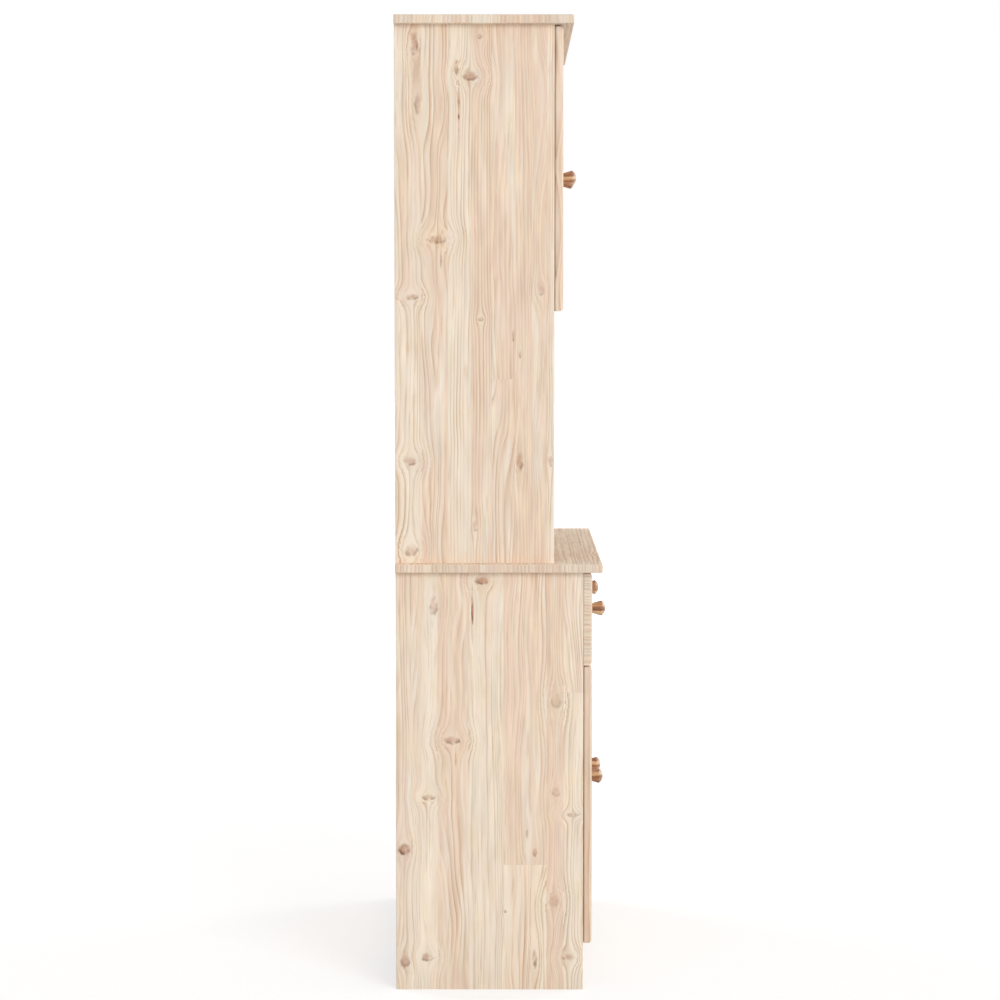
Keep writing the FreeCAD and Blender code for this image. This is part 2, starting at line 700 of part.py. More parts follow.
def knob_pattern():
    """A turned knob: a flared neck, a rim and a shallow dome, bored from behind for its screw."""
    body = new_body("knob_pattern")
    sketch = new_sketch(body, "XZ_Plane")
    bore = "(knob_screw_radius + fit_clearance)"
    bore_depth = "(knob_screw_grip + bore_relief)"
    before_dome = [(bore, "0"), ("knob_neck_radius", "0"), ("knob_rim_radius", "knob_rim_level")]
    after_dome = [("0", "knob_length"), ("0", bore_depth), (bore, bore_depth)]
    path = before_dome + after_dome
    dome = len(before_dome) - 1
    for index in range(len(path)):
        if index == dome:
            sketch.addGeometry(Part.ArcOfCircle(Part.Circle(FreeCAD.Vector(), Z_AXIS, 20), 0.8, 1.5), False)
            sketch.addConstraint(Sketcher.Constraint("PointOnObject", index, 3, -2))
        else:
            start = FreeCAD.Vector(10 - index, index, 0)
            sketch.addGeometry(Part.LineSegment(start, start + FreeCAD.Vector(-1, 1, 0)), False)
    for index, (across, up) in enumerate(path):
        following = (index + 1) % len(path)
        sketch.addConstraint(Sketcher.Constraint("Coincident", index, 2, following, 1))
        locate(sketch, index, 1, across, up)
    revolve(body, sketch)

    def on_rim(point):
        return near(FreeCAD.Vector(point.x, point.y, 0).Length, sheet.knob_rim_radius)

    round_edges(body, edges_through(body.Tip.Shape, on_rim), "knob_rim_round")
    return body


PIN_FROM_CUP = "(cup_rim_distance + cup_radius + cup_clearance - hinge_pin_edge)"
PIN_FROM_SIDE = "(front_inset + hinge_pin_edge)"
PIN_AHEAD = "(front_standoff + hinge_pin_depth)"
ARM_REACH = f"(board_thickness + plate_thickness + arm_channel_height - {PIN_FROM_SIDE})"


def hinge_cup_pattern():
    """A hinge cup standing on its floor, with a screw flange round its mouth and a hole for the pin."""
    body = new_body("hinge_cup_pattern")
    mouth = "(cup_radius - cup_wall)"
    wall = new_sketch(body, "XZ_Plane")
    section = [("0", "0"), ("cup_radius", "0"), ("cup_radius", "cup_depth")]
    section += [(mouth, "cup_depth"), (mouth, "cup_wall"), ("0", "cup_wall")]
    outline(wall, section)
    revolve(body, wall)
    flange = new_sketch(body, "XY_Plane", "cup_depth")
    rectangle(flange, "-flange_start", "-flange_span / 2", "flange_reach", "flange_span / 2")
    pad(body, flange, "flange_thickness")
    flat = body.Tip.Shape

    def at_corner(point):
        at_end = near(abs(point.y), sheet.flange_span / 2)
        return at_end and (near(point.x, -sheet.flange_start) or near(point.x, sheet.flange_reach))

    def upright(name):
        return near(flat.getElement(name).Length, sheet.flange_thickness)

    corners = [name for name in edges_through(flat, at_corner) if upright(name)]
    round_edges(body, corners, "flange_corner")
    opening = new_sketch(body, "XY_Plane", "cup_depth + flange_thickness")
    circle(opening, "0", "0", mouth)
    pocket(body, opening, "flange_thickness")
    pin = new_sketch(body, "XZ_Plane")
    circle(pin, f"-{PIN_FROM_CUP}", "cup_depth - hinge_pin_depth", "(hinge_pin_radius + fit_clearance)")
    pocket(body, pin, "2 * cup_radius", symmetric=True)
    return body


def hinge_arm_pattern():
    """A bent arm from the pin's eye to a channel behind it. Its origin is the pin's middle."""
    body = new_body("hinge_arm_pattern")
    eye = new_sketch(body, "XY_Plane")
    circle(eye, "0", "0", "eye_radius")
    pad(body, eye, "eye_height", symmetric=True)
    strip = new_sketch(body, "XY_Plane")
    half = "arm_sheet / 2"
    inside = f"({ARM_REACH} - arm_sheet)"
    end = f"({PIN_AHEAD} + arm_length)"
    bend = [("0", f"-{half}"), (ARM_REACH, f"-{half}"), (ARM_REACH, end)]
    bend += [(inside, end), (inside, half), ("0", half)]
    outline(strip, bend)
    pad(body, strip, "eye_height", symmetric=True)
    outermost = max(vertex.X for vertex in body.Tip.Shape.Vertexes)

    def at_bend(point):
        return near(point.x, outermost) and near(point.y, -sheet.arm_sheet / 2)

    round_edges(body, edges_through(body.Tip.Shape, at_bend), "arm_bend")
    bore = new_sketch(body, "XY_Plane")
    circle(bore, "0", "0", "(hinge_pin_radius + hinge_running_clearance)")
    pocket(body, bore, "2 * eye_height", symmetric=True)
    channel = new_sketch(body, "XZ_Plane", f"0 - ({PIN_AHEAD} + arm_channel_start)")
    low = f"({ARM_REACH} - arm_channel_height)"
    half_width = "arm_channel_width / 2"
    half_inside = "(arm_channel_width / 2 - arm_channel_wall)"
    section = [(low, f"-{half_width}"), (ARM_REACH, f"-{half_width}"), (ARM_REACH, half_width)]
    section += [(low, half_width), (low, half_inside), (inside, half_inside)]
    section += [(inside, f"-{half_inside}"), (low, f"-{half_inside}")]
    outline(channel, section)
    pad(body, channel, "(arm_length - arm_channel_start)", reverse=True)
    return body


def hinge_plate_pattern():
    """A cross-shaped plate on a side's inner face, with the block that the arm's channel sits over."""
    body = new_body("hinge_plate_pattern")
    stem = new_sketch(body, "YZ_Plane")
    rectangle(stem, "plate_start", "-arm_channel_width / 2", "arm_length", "arm_channel_width / 2")
    pad(body, stem, "plate_thickness")
    wings = new_sketch(body, "YZ_Plane")
    wing_end = "(plate_wing_start + plate_wing_width)"
    rectangle(wings, "plate_wing_start", "-plate_wing_span / 2", wing_end, "plate_wing_span / 2")
    pad(body, wings, "plate_thickness")
    soften(body, [("bottom", "bottom"), ("top", "top")], "plate_ease")
    block = new_sketch(body, "YZ_Plane")
    half = "(arm_channel_width / 2 - arm_channel_wall - plate_block_clearance)"
    rectangle(block, "plate_block_start", f"-{half}", "arm_length", half)
    pad(body, block, "(plate_thickness + arm_channel_height - arm_sheet - plate_block_clearance)")
    return body


LEFT_CUP = turned(X_AXIS, Y_AXIS)
RIGHT_CUP = turned(-X_AXIS, Y_AXIS)
RIGHT_FITTING = turned(-X_AXIS, -Z_AXIS)
DOOR_LEVELS = {
    "upper": (UPPER_FRONT, UPPER_DOOR_BASE, "door_height"),
    "lower": (LOWER_FRONT, "door_bottom", LOWER_DOOR_HEIGHT),
}


def make_hinge_fittings():
    """The arms and plates of all eight hinges, on the inner faces of the sides."""
    arm_places = []
    plate_places = []
    for front, base, door_height in DOOR_LEVELS.values():
        for level in both_ends(door_height, "hinge_inset"):
            height = f"{base} + {level}"
            for sign, rotation in (("-", UP), ("", RIGHT_FITTING)):
                pin_x = f"{sign}({BODY_HALF} - {PIN_FROM_SIDE})"
                arm_places.append(((pin_x, f"{front} - {PIN_AHEAD}", height), rotation))
                plate_places.append(((f"{sign}{INNER_HALF}", front, height), rotation))
    copies("hinge_arms", hinge_arm_pattern(), arm_places)
    copies("hinge_plates", hinge_plate_pattern(), plate_places)


def front_panel(label, width, height, corner):
    """A slab front with well rounded edges to its face."""
    body = board(label, (width, "front_thickness", height), corner)
    edges = ("left", "right", "bottom", "top")
    soften(body, [("front", edge) for edge in edges], "front_round")
    return body


def make_door(level, hand, patterns):
    """One door with its knob, knob screw, hinge cups and hinge pins."""
    knob, screw, cup, pin = patterns
    name = f"{level}_{hand}_door"
    front, base, height = DOOR_LEVELS[level]
    hinge_levels = both_ends(height, "hinge_inset")
    left = hand == "left"
    edge_x = f"-({BODY_HALF} - front_inset)" if left else "front_gap / 2"
    face_y = f"{front} - front_standoff - front_thickness"
    back_y = f"{front} - front_standoff"
    body = front_panel(f"{name}_panel", FRONT_WIDTH, height, (edge_x, face_y, base))
    soften(body, [("back", hand)], "door_swing_round")
    cup_in = "(cup_rim_distance + cup_radius + cup_clearance)"
    cup_across = cup_in if left else f"({FRONT_WIDTH} - {cup_in})"
    bores = [(cup_across, up) for up in hinge_levels]
    drill(body, "back", bores, "(cup_radius + cup_clearance)", "(cup_depth + cup_clearance)")
    knob_across = f"({FRONT_WIDTH} - door_knob_inset)" if left else "door_knob_inset"
    drill(body, "back", [(knob_across, f"({height} / 2)")], KNOB_SCREW_BORE, "front_thickness")
    node(body)

    knob_x = f"{edge_x} + {knob_across}"
    knob_z = f"{base} + {height} / 2"
    copies(f"{name}_knob", knob, [((knob_x, face_y, knob_z), FORWARD)])
    copies(f"{name}_knob_screw", screw, [((knob_x, f"{back_y} + knob_screw_head_height", knob_z), FORWARD)])
    cup_rotation = LEFT_CUP if left else RIGHT_CUP
    sign = HANDS[hand]
    cup_x = f"{sign}({BODY_HALF} - front_inset - {cup_in})"
    pin_x = f"{sign}({BODY_HALF} - {PIN_FROM_SIDE})"
    cups = []
    pins = []
    for up in hinge_levels:
        cups.append(((cup_x, f"{back_y} - cup_depth", f"{base} + {up}"), cup_rotation))
        pins.append(((pin_x, f"{front} - {PIN_AHEAD}", f"{base} + {up} - hinge_pin_length / 2"), UP))
    copies(f"{name}_hinge_cups", cup, cups)
    copies(f"{name}_hinge_pins", pin, pins)


def make_drawer(hand, patterns):
    """One drawer: a front, two sides, a back, a bottom in grooves, dowels, a knob and its screw."""
    knob, screw, dowel = patterns
    name = f"{hand}_drawer"
    left = hand == "left"
    front_x = f"-({BODY_HALF} - front_inset)" if left else "front_gap / 2"
    box_x = f"-({INNER_HALF} - runner_gap)" if left else f"({BOARD_MIDDLE} + runner_gap)"
    box_in_front = "(board_thickness - front_inset + runner_gap)"
    if not left:
        box_in_front = f"({BOARD_MIDDLE} + runner_gap - front_gap / 2)"
    face_y = f"{LOWER_FRONT} - front_standoff - front_thickness"
    back_y = f"{LOWER_FRONT} - front_standoff"
    box_up = f"({BOX_BASE} - {DRAWER_FRONT_BASE})"
    side_middle = "(drawer_side_thickness / 2)"
    dowel_levels = both_ends("drawer_side_height", "drawer_dowel_inset")
    bottom_low = "(drawer_bottom_level - groove_clearance)"
    bottom_high = "(drawer_bottom_level + drawer_bottom_thickness + groove_clearance)"
    dowel_bore = "(drawer_dowel_radius + fit_clearance)"

    front_corner = (front_x, face_y, DRAWER_FRONT_BASE)
    front = front_panel(f"{name}_front", FRONT_WIDTH, DRAWER_FRONT_HEIGHT, front_corner)
    side_places = [f"({box_in_front} + {side_middle})", f"({box_in_front} + {BOX_WIDTH} - {side_middle})"]
    holes = [(across, f"({box_up} + {level})") for across in side_places for level in dowel_levels]
    drill(front, "back", holes, dowel_bore, DOWEL_FACE_BORE)
    inset = "(drawer_side_thickness - drawer_groove)"
    slot = (f"({box_in_front} + {inset})", f"({box_up} + {bottom_low})",
            f"({box_in_front} + {BOX_WIDTH} - {inset})", f"({box_up} + {bottom_high})")
    groove(front, "back", slot, "drawer_groove")
    knob_across = f"({FRONT_WIDTH} / 2)"
    knob_up = f"({DRAWER_FRONT_HEIGHT} / 2)"
    drill(front, "back", [(knob_across, knob_up)], KNOB_SCREW_BORE, "front_thickness")
    node(front)

    groove_half = "(runner_height / 2 + runner_clearance)"
    for place in HANDS:
        outer = place
        inner = "right" if place == "left" else "left"
        side_x = box_x if place == "left" else f"({box_x} + {BOX_WIDTH} - drawer_side_thickness)"
        size = ("drawer_side_thickness", BOX_LENGTH, "drawer_side_height")
        side = board(f"{name}_{place}_side", size, (side_x, back_y, BOX_BASE))
        soften(side, [("top", "left"), ("top", "right")], "inner_ease")
        run = ("0", f"(runner_level - {groove_half})", BOX_LENGTH, f"(runner_level + {groove_half})")
        groove(side, outer, run, "runner_groove")
        groove(side, inner, ("0", bottom_low, BOX_LENGTH, bottom_high), "drawer_groove")
        drill(side, "front", [(side_middle, level) for level in dowel_levels], dowel_bore, DOWEL_EDGE_BORE)
        node(side)

    back_size = (f"({BOX_WIDTH} - 2 * drawer_side_thickness)", "drawer_side_thickness",
                 "(drawer_side_height - drawer_bottom_level - drawer_bottom_thickness)")
    back_corner = (f"{box_x} + drawer_side_thickness", f"{back_y} + {BOX_LENGTH} - drawer_side_thickness",
                   f"{BOX_BASE} + drawer_bottom_level + drawer_bottom_thickness")
    back = board(f"{name}_back", back_size, back_corner)
    soften(back, [("top", "front"), ("top", "back")], "inner_ease")
    node(back)
    edge = f"({inset} + groove_clearance)"
    bottom_size = (f"({BOX_WIDTH} - 2 * {edge})", f"({BOX_LENGTH} + drawer_groove - groove_clearance)",
                   "drawer_bottom_thickness")
    bottom_corner = (f"{box_x} + {edge}", f"{back_y} - drawer_groove + groove_clearance",
                     f"{BOX_BASE} + drawer_bottom_level")
    node(board(f"{name}_bottom", bottom_size, bottom_corner))

    places = []
    for across in side_places:
        for level in dowel_levels:
            foot = (f"{front_x} + {across}", f"{back_y} - dowel_face_depth", f"{BOX_BASE} + {level}")
            places.append((foot, turned(X_AXIS, Y_AXIS)))
    copies(f"{name}_dowels", dowel, places)
    knob_x = f"{front_x} + {knob_across}"
    knob_z = f"{DRAWER_FRONT_BASE} + {knob_up}"
    copies(f"{name}_knob", knob, [((knob_x, face_y, knob_z), FORWARD)])
    copies(f"{name}_knob_screw", screw, [((knob_x, f"{back_y} + knob_screw_head_height", knob_z), FORWARD)])


def make_runners():
    """Four wooden strips that reach into the grooves of the drawer sides."""
    width = "(runner_gap + runner_groove - runner_clearance)"
    low = f"{BOX_BASE} + runner_level - runner_height / 2"
    walls = [f"-{INNER_HALF}", f"-{BOARD_MIDDLE} - {width}", BOARD_MIDDLE, f"{INNER_HALF} - {width}"]
    strips = []
    for wall in walls:
        corner = (wall, f"{LOWER_FRONT} + runner_setback", low)
        strip = board("runner_strip", (width, RUNNER_LENGTH, "runner_height"), corner)
        strips.append(strip)
    group = doc.addObject("Part::Compound", "Group")
    group.Label = "drawer_runners"
    group.Links = strips
    node(group)


def make_fronts():
    knob = knob_pattern()
    shank = "(front_thickness + knob_screw_grip)"
    head = ("knob_screw_head_radius", "knob_screw_head_height")
    screw = round_template("knob_screw_pattern", [head, ("knob_screw_radius", shank)])
    cup = hinge_cup_pattern()
    pin = round_template("hinge_pin_pattern", [("hinge_pin_radius", "hinge_pin_length")])
    dowel = round_template("drawer_dowel_pattern", [("drawer_dowel_radius", "dowel_length")])
    for level in DOOR_LEVELS:
        for hand in HANDS:
            make_door(level, hand, (knob, screw, cup, pin))
    for hand in HANDS:
        make_drawer(hand, (knob, screw, dowel))


def check_and_write():
    """Stop on any failed object or bad shape, then write one file for each piece."""
    doc.recompute()
    for thing in doc.Objects:
        if "Invalid" in thing.State or "Error" in thing.State:
            raise RuntimeError(f"{thing.Label} failed: {thing.State}")
    for piece in nodes:
        if piece.Shape.isNull() or not piece.Shape.isValid():
            raise RuntimeError(f"{piece.Label} has no valid shape")
    os.makedirs("parts", exist_ok=True)
    for piece in nodes:
        piece.Shape.exportStep(f"parts/{piece.Label}.step")
        print(piece.Label, len(piece.Shape.Solids), round(piece.Shape.Volume))


make_sides()
make_boards()
make_backs()
make_shelves()
make_runners()
make_shelf_pins()
make_dowels()
make_cam_bolts()
make_cam_locks()
make_hinge_fittings()
make_fronts()
check_and_write()
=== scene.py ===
import math
import bpy
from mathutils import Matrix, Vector


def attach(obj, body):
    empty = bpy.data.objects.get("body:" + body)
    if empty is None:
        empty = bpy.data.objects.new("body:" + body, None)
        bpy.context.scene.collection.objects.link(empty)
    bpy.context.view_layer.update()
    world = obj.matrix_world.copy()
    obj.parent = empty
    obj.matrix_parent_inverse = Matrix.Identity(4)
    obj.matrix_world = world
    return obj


# The looks of a pine highboard: edge-glued boards, turned knobs, plywood backs, hinges and small fasteners.
# Metres, with X along the width, the front facing -Y and Z up.

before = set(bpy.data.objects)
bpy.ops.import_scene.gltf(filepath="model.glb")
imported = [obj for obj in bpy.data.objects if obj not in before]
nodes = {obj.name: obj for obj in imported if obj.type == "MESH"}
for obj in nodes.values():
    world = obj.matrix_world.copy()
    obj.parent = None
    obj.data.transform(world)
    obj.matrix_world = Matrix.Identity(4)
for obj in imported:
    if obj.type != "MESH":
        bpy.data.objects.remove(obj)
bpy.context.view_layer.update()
scene = bpy.context.scene
scene.view_settings.view_transform = "Standard"


# Places in the joinery, read from the CAD pieces


def extent(name):
    """The lowest and the highest corner of a CAD piece."""
    piece = nodes[name]
    points = [piece.matrix_world @ vertex.co for vertex in piece.data.vertices]
    low = Vector([min(point[axis] for point in points) for axis in range(3)])
    high = Vector([max(point[axis] for point in points) for axis in range(3)])
    return low, high


def middle(name):
    """The middle of a CAD piece's box."""
    low, high = extent(name)
    return (low + high) / 2


UPPER_SIDE = extent("upper_left_side")
LOWER_SIDE = extent("lower_left_side")
BACK = LOWER_SIDE[1].y
SIDE_FACE = -LOWER_SIDE[1].x
UPPER_KNOB = middle("upper_left_door_knob").z
DRAWER_KNOB = middle("left_drawer_knob").z
LOWER_KNOB = middle("lower_left_door_knob").z


def shade(red, green, blue):
    """A colour written as it looks on a screen, from 0 to 255, as the linear colour that a shader takes."""
    linear = []
    for part in (red, green, blue):
        value = part / 255
        linear.append(value / 12.92 if value <= 0.04045 else ((value + 0.055) / 1.055) ** 2.4)
    return (*linear, 1.0)


# Wiring of node trees


class Wiring:
    """Adds nodes to one tree. A socket given as a value is linked, and anything else is set."""

    def __init__(self, tree):
        self.tree = tree

    def feed(self, socket, value):
        if isinstance(value, bpy.types.NodeSocket):
            self.tree.links.new(value, socket)
        else:
            socket.default_value = value

    def node(self, kind, inputs=None, **settings):
        made = self.tree.nodes.new(kind)
        for name, value in settings.items():
            setattr(made, name, value)
        for key, value in (inputs or {}).items():
            self.feed(made.inputs[key], value)
        return made

    def math(self, operation, *values):
        made = self.node("ShaderNodeMath", dict(enumerate(values)), operation=operation)
        return made.outputs[0]

    def total(self, *values):
        result = values[0]
        for value in values[1:]:
            result = self.math("ADD", result, value)
        return result

    def product(self, *values):
        result = values[0]
        for value in values[1:]:
            result = self.math("MULTIPLY", result, value)
        return result

    def ease(self, value, low, high, start=0.0, end=1.0):
        """A smooth step of a value between two limits."""
        inputs = {"Value": value, "From Min": low, "From Max": high, "To Min": start, "To Max": end}
        made = self.node("ShaderNodeMapRange", inputs, interpolation_type="SMOOTHSTEP")
        return made.outputs["Result"]

    def vector(self, x, y, z):
        return self.node("ShaderNodeCombineXYZ", {"X": x, "Y": y, "Z": z}).outputs[0]

    def split(self, vector):
        """The X, Y and Z of a vector."""
        return self.node("ShaderNodeSeparateXYZ", {0: vector}).outputs

    def noise(self, vector, scales, detail=2.0, roughness=0.5):
        """Noise with its own scale along each axis, in bumps to the metre."""
        stretched = self.node("ShaderNodeVectorMath", {0: vector, 1: scales}, operation="MULTIPLY").outputs[0]
        inputs = {"Vector": stretched, "Scale": 1.0, "Detail": detail, "Roughness": roughness}
        return self.node("ShaderNodeTexNoise", inputs).outputs["Fac"]

    def mix(self, factor, first, second, blend="MIX"):
        """One colour laid over another."""
        inputs = {0: factor, 6: first, 7: second}
        made = self.node("ShaderNodeMix", inputs, data_type="RGBA", blend_type=blend)
        return made.outputs[2]

    def ramp(self, value, stops, interpolation="LINEAR"):
        made = self.node("ShaderNodeValToRGB", {"Fac": value})
        bar = made.color_ramp
        bar.interpolation = interpolation
        while len(bar.elements) < len(stops):
            bar.elements.new(1.0)
        for element, (position, colour) in zip(bar.elements, stops):
            element.position = position
            element.color = colour
        return made.outputs["Color"]

    def parts(self, colour):
        """The three parts of a colour, as numbers."""
        return list(self.node("ShaderNodeSeparateColor", {"Color": colour}).outputs)

    def group(self, tree, inputs):
        made = self.node("ShaderNodeGroup", node_tree=tree)
        for key, value in inputs.items():
            self.feed(made.inputs[key], value)
        return made.outputs


NUMBER = "NodeSocketFloat"
COLOUR = "NodeSocketColor"
VECTOR = "NodeSocketVector"
FINISH_OUTPUTS = {"Color": COLOUR, "Roughness": NUMBER, "Height": NUMBER}
KNOT_OUTPUTS = {"Core": NUMBER, "Rim": NUMBER, "Rings": NUMBER, "Bend": NUMBER}


def new_group(name, inputs, outputs):
    """An empty shader node group, its wiring, its entry sockets and its exit sockets."""
    tree = bpy.data.node_groups.new(name, "ShaderNodeTree")
    for label, kind in inputs.items():
        tree.interface.new_socket(label, in_out="INPUT", socket_type=kind)
    for label, kind in outputs.items():
        tree.interface.new_socket(label, in_out="OUTPUT", socket_type=kind)
    net = Wiring(tree)
    entry = net.node("NodeGroupInput").outputs
    leaving = net.node("NodeGroupOutput").inputs
    return tree, net, entry, leaving


# Staves, knots and grain

# A seam fades over shares of a stave's width, and the line where two lengths meet over metres
STAVE_UNEVENNESS = 0.45
SEAM = (0.004, 0.02)
BUTT_LINE = (0.0003, 0.0009)
BUTT_SHARE = 0.4
LENGTH_SHIFT = 9.0
MARK_STRETCH = 100.0


def make_stave_group():
    """Staves of uneven width across a board, in lengths that each have three chance values of their own."""
    inputs = {label: NUMBER for label in ("Along", "Across", "Length", "Width", "Seed")}
    tree, net, entry, leaving = new_group("staves", inputs, {"Stave": COLOUR, "Glue": NUMBER})

    # Strips across the board, with a seam at every edge
    place = net.total(net.math("DIVIDE", entry["Across"], entry["Width"]), entry["Seed"])
    settings = {"W": place, "Scale": 1.0, "Randomness": STAVE_UNEVENNESS}
    strip = net.node("ShaderNodeTexVoronoi", settings, voronoi_dimensions="1D")
    edge = net.node("ShaderNodeTexVoronoi", settings, voronoi_dimensions="1D", feature="DISTANCE_TO_EDGE")
    seam = net.ease(edge.outputs["Distance"], *SEAM, 1.0, 0.0)

    # Lengths along each strip, with a fainter line where they meet
    mark, shift, _ = net.parts(strip.outputs["Color"])
    lengths = net.math("DIVIDE", entry["Along"], entry["Length"])
    lengths = net.total(lengths, net.product(shift, LENGTH_SHIFT), entry["Seed"])
    this_length = net.vector(net.product(mark, MARK_STRETCH), net.math("FLOOR", lengths), 0.0)
    chances = net.node("ShaderNodeTexWhiteNoise", {"Vector": this_length}, noise_dimensions="2D")
    from_end = net.math("PINGPONG", lengths, 0.5)
    butt = net.ease(net.product(from_end, entry["Length"]), *BUTT_LINE, BUTT_SHARE, 0.0)
    net.feed(leaving["Stave"], chances.outputs["Color"])
    net.feed(leaving["Glue"], net.math("MAXIMUM", seam, butt))
    return tree


# A knot's outline, its rings, and how its push on the grain falls off
KNOT_RAGGEDNESS = 0.9
KNOT_RING_RATE = 14.0
BEND_FALL_ALONG = -0.07
BEND_FALL_ACROSS = -0.16
BEND_SHARE = -1.1


def make_knot_group():
    """One knot: its core, its dark lower rim, its growth rings, and how far it pushes the grain aside."""
    labels = ("Along", "Across", "Ragged", "Patchy", "Knot along", "Knot across", "Half length", "Half width")
    inputs = {label: NUMBER for label in (*labels, "Strength")}
    tree, net, entry, leaving = new_group("knot", inputs, KNOT_OUTPUTS)
    from_knot = net.math("SUBTRACT", entry["Along"], entry["Knot along"])
    along = net.math("DIVIDE", from_knot, entry["Half length"])
    beside_knot = net.math("SUBTRACT", entry["Across"], entry["Knot across"])
    across = net.math("DIVIDE", beside_knot, entry["Half width"])
    along_squared = net.product(along, along)
    across_squared = net.product(across, across)
    distance = net.math("SQRT", net.total(along_squared, across_squared))
    distance = net.total(distance, net.product(net.total(entry["Ragged"], -0.5), KNOT_RAGGEDNESS))
    fill = net.total(0.55, net.product(entry["Patchy"], 0.45))
    core = net.product(net.ease(distance, 0.3, 1.3, 1.0, 0.0), fill)
    rim = net.product(net.ease(distance, 0.4, 0.9), net.ease(distance, 1.0, 1.5, 1.0, 0.0), entry["Patchy"])
    rim = net.product(rim, net.ease(along, -0.6, 0.6, 1.0, 0.2))
    net.feed(leaving["Core"], net.product(core, entry["Strength"]))
    net.feed(leaving["Rim"], net.product(rim, entry["Strength"]))
    net.feed(leaving["Rings"], net.math("SINE", net.product(distance, KNOT_RING_RATE)))
    fall_along = net.product(along_squared, BEND_FALL_ALONG)
    reach = net.total(fall_along, net.product(across_squared, BEND_FALL_ACROSS))
    push = net.product(net.math("EXPONENT", reach), net.total(0.45, entry["Ragged"]))
    net.feed(leaving["Bend"], net.product(across, push, entry["Half width"], BEND_SHARE))
    return tree


def knot_noise(net, along, across):
    """The ragged outline and the patchy colour that all knots of a board share."""
    ragged = net.noise(net.vector(along, across, 0.0), (120.0, 170.0, 1.0), 2.0)
    patchy = net.noise(net.vector(along, across, 3.7), (75.0, 95.0, 1.0), 1.0)
    return ragged, net.ease(patchy, 0.34, 0.62)


# Patches of a board with one knot at most, and half the sizes of the knots
PATCH_LENGTH = 0.24
PATCH_WIDTH = 0.075
PATCH_UNEVENNESS = 0.75
SMALLEST_KNOT = 0.0001
KNOT_HALF_LENGTH = 0.005
KNOT_LENGTHENING = 0.006
KNOT_HALF_WIDTH = 0.0055


def make_scatter_group(knot):
    """Chance knots over a board, one at most in each patch of it, faded out at the patch's border."""
    inputs = {"Along": NUMBER, "Across": NUMBER, "Seed": NUMBER, "Share": NUMBER}
    tree, net, entry, leaving = new_group("scattered_knots", inputs, KNOT_OUTPUTS)
    along = net.total(net.math("DIVIDE", entry["Along"], PATCH_LENGTH), entry["Seed"])
    across = net.total(net.math("DIVIDE", entry["Across"], PATCH_WIDTH), entry["Seed"])
    settings = {"Vector": net.vector(along, across, 0.0), "Scale": 1.0, "Randomness": PATCH_UNEVENNESS}
    patches = net.node("ShaderNodeTexVoronoi", settings, voronoi_dimensions="2D")
    border = net.node("ShaderNodeTexVoronoi", settings, voronoi_dimensions="2D", feature="DISTANCE_TO_EDGE")
    inside = net.ease(border.outputs["Distance"], 0.0, 0.15)
    spot = net.split(patches.outputs["Position"])
    chance, size, shape = net.parts(patches.outputs["Color"])
    present = net.math("LESS_THAN", chance, entry["Share"])
    size = net.product(present, net.total(0.35, net.product(size, 0.75)))
    half_length = net.product(size, net.total(KNOT_HALF_LENGTH, net.product(shape, KNOT_LENGTHENING)))
    half_width = net.product(size, KNOT_HALF_WIDTH)
    ragged, patchy = knot_noise(net, entry["Along"], entry["Across"])
    values = {
        "Along": entry["Along"],
        "Across": entry["Across"],
        "Ragged": ragged,
        "Patchy": patchy,
        "Knot along": net.product(net.math("SUBTRACT", spot["X"], entry["Seed"]), PATCH_LENGTH),
        "Knot across": net.product(net.math("SUBTRACT", spot["Y"], entry["Seed"]), PATCH_WIDTH),
        "Half length": net.total(SMALLEST_KNOT, half_length),
        "Half width": net.total(SMALLEST_KNOT, half_width),
        "Strength": net.total(0.35, net.product(shape, 0.65)),
    }
    found = net.group(knot, values)
    for label in KNOT_OUTPUTS:
        net.feed(leaving[label], net.product(found[label], inside))
    return tree


CREAM = shade(241, 227, 209)
PEACH = shade(233, 206, 182)
PALE_GREEN = shade(236, 223, 202)
PINK = shade(237, 208, 187)
HONEY = shade(239, 218, 185)
EARLY_WOOD = shade(245, 234, 217)
LATE_WOOD = shade(212, 177, 144)
RING_LINE = shade(176, 138, 106)
KNOT_CORE = shade(202, 150, 120)
KNOT_RIM = shade(128, 80, 58)

# How far apart in the wood the staves are cut, the spacing of rings, and how far they swing aside
SHIFT_ALONG = 11.7
SHIFT_ACROSS = 7.3
SHIFT_THROUGH = 3.1
RING_SPACING = 0.005
RING_WIDENING = 0.004
RING_SWING = (0.016, 0.085)
RING_WAVER = 0.003


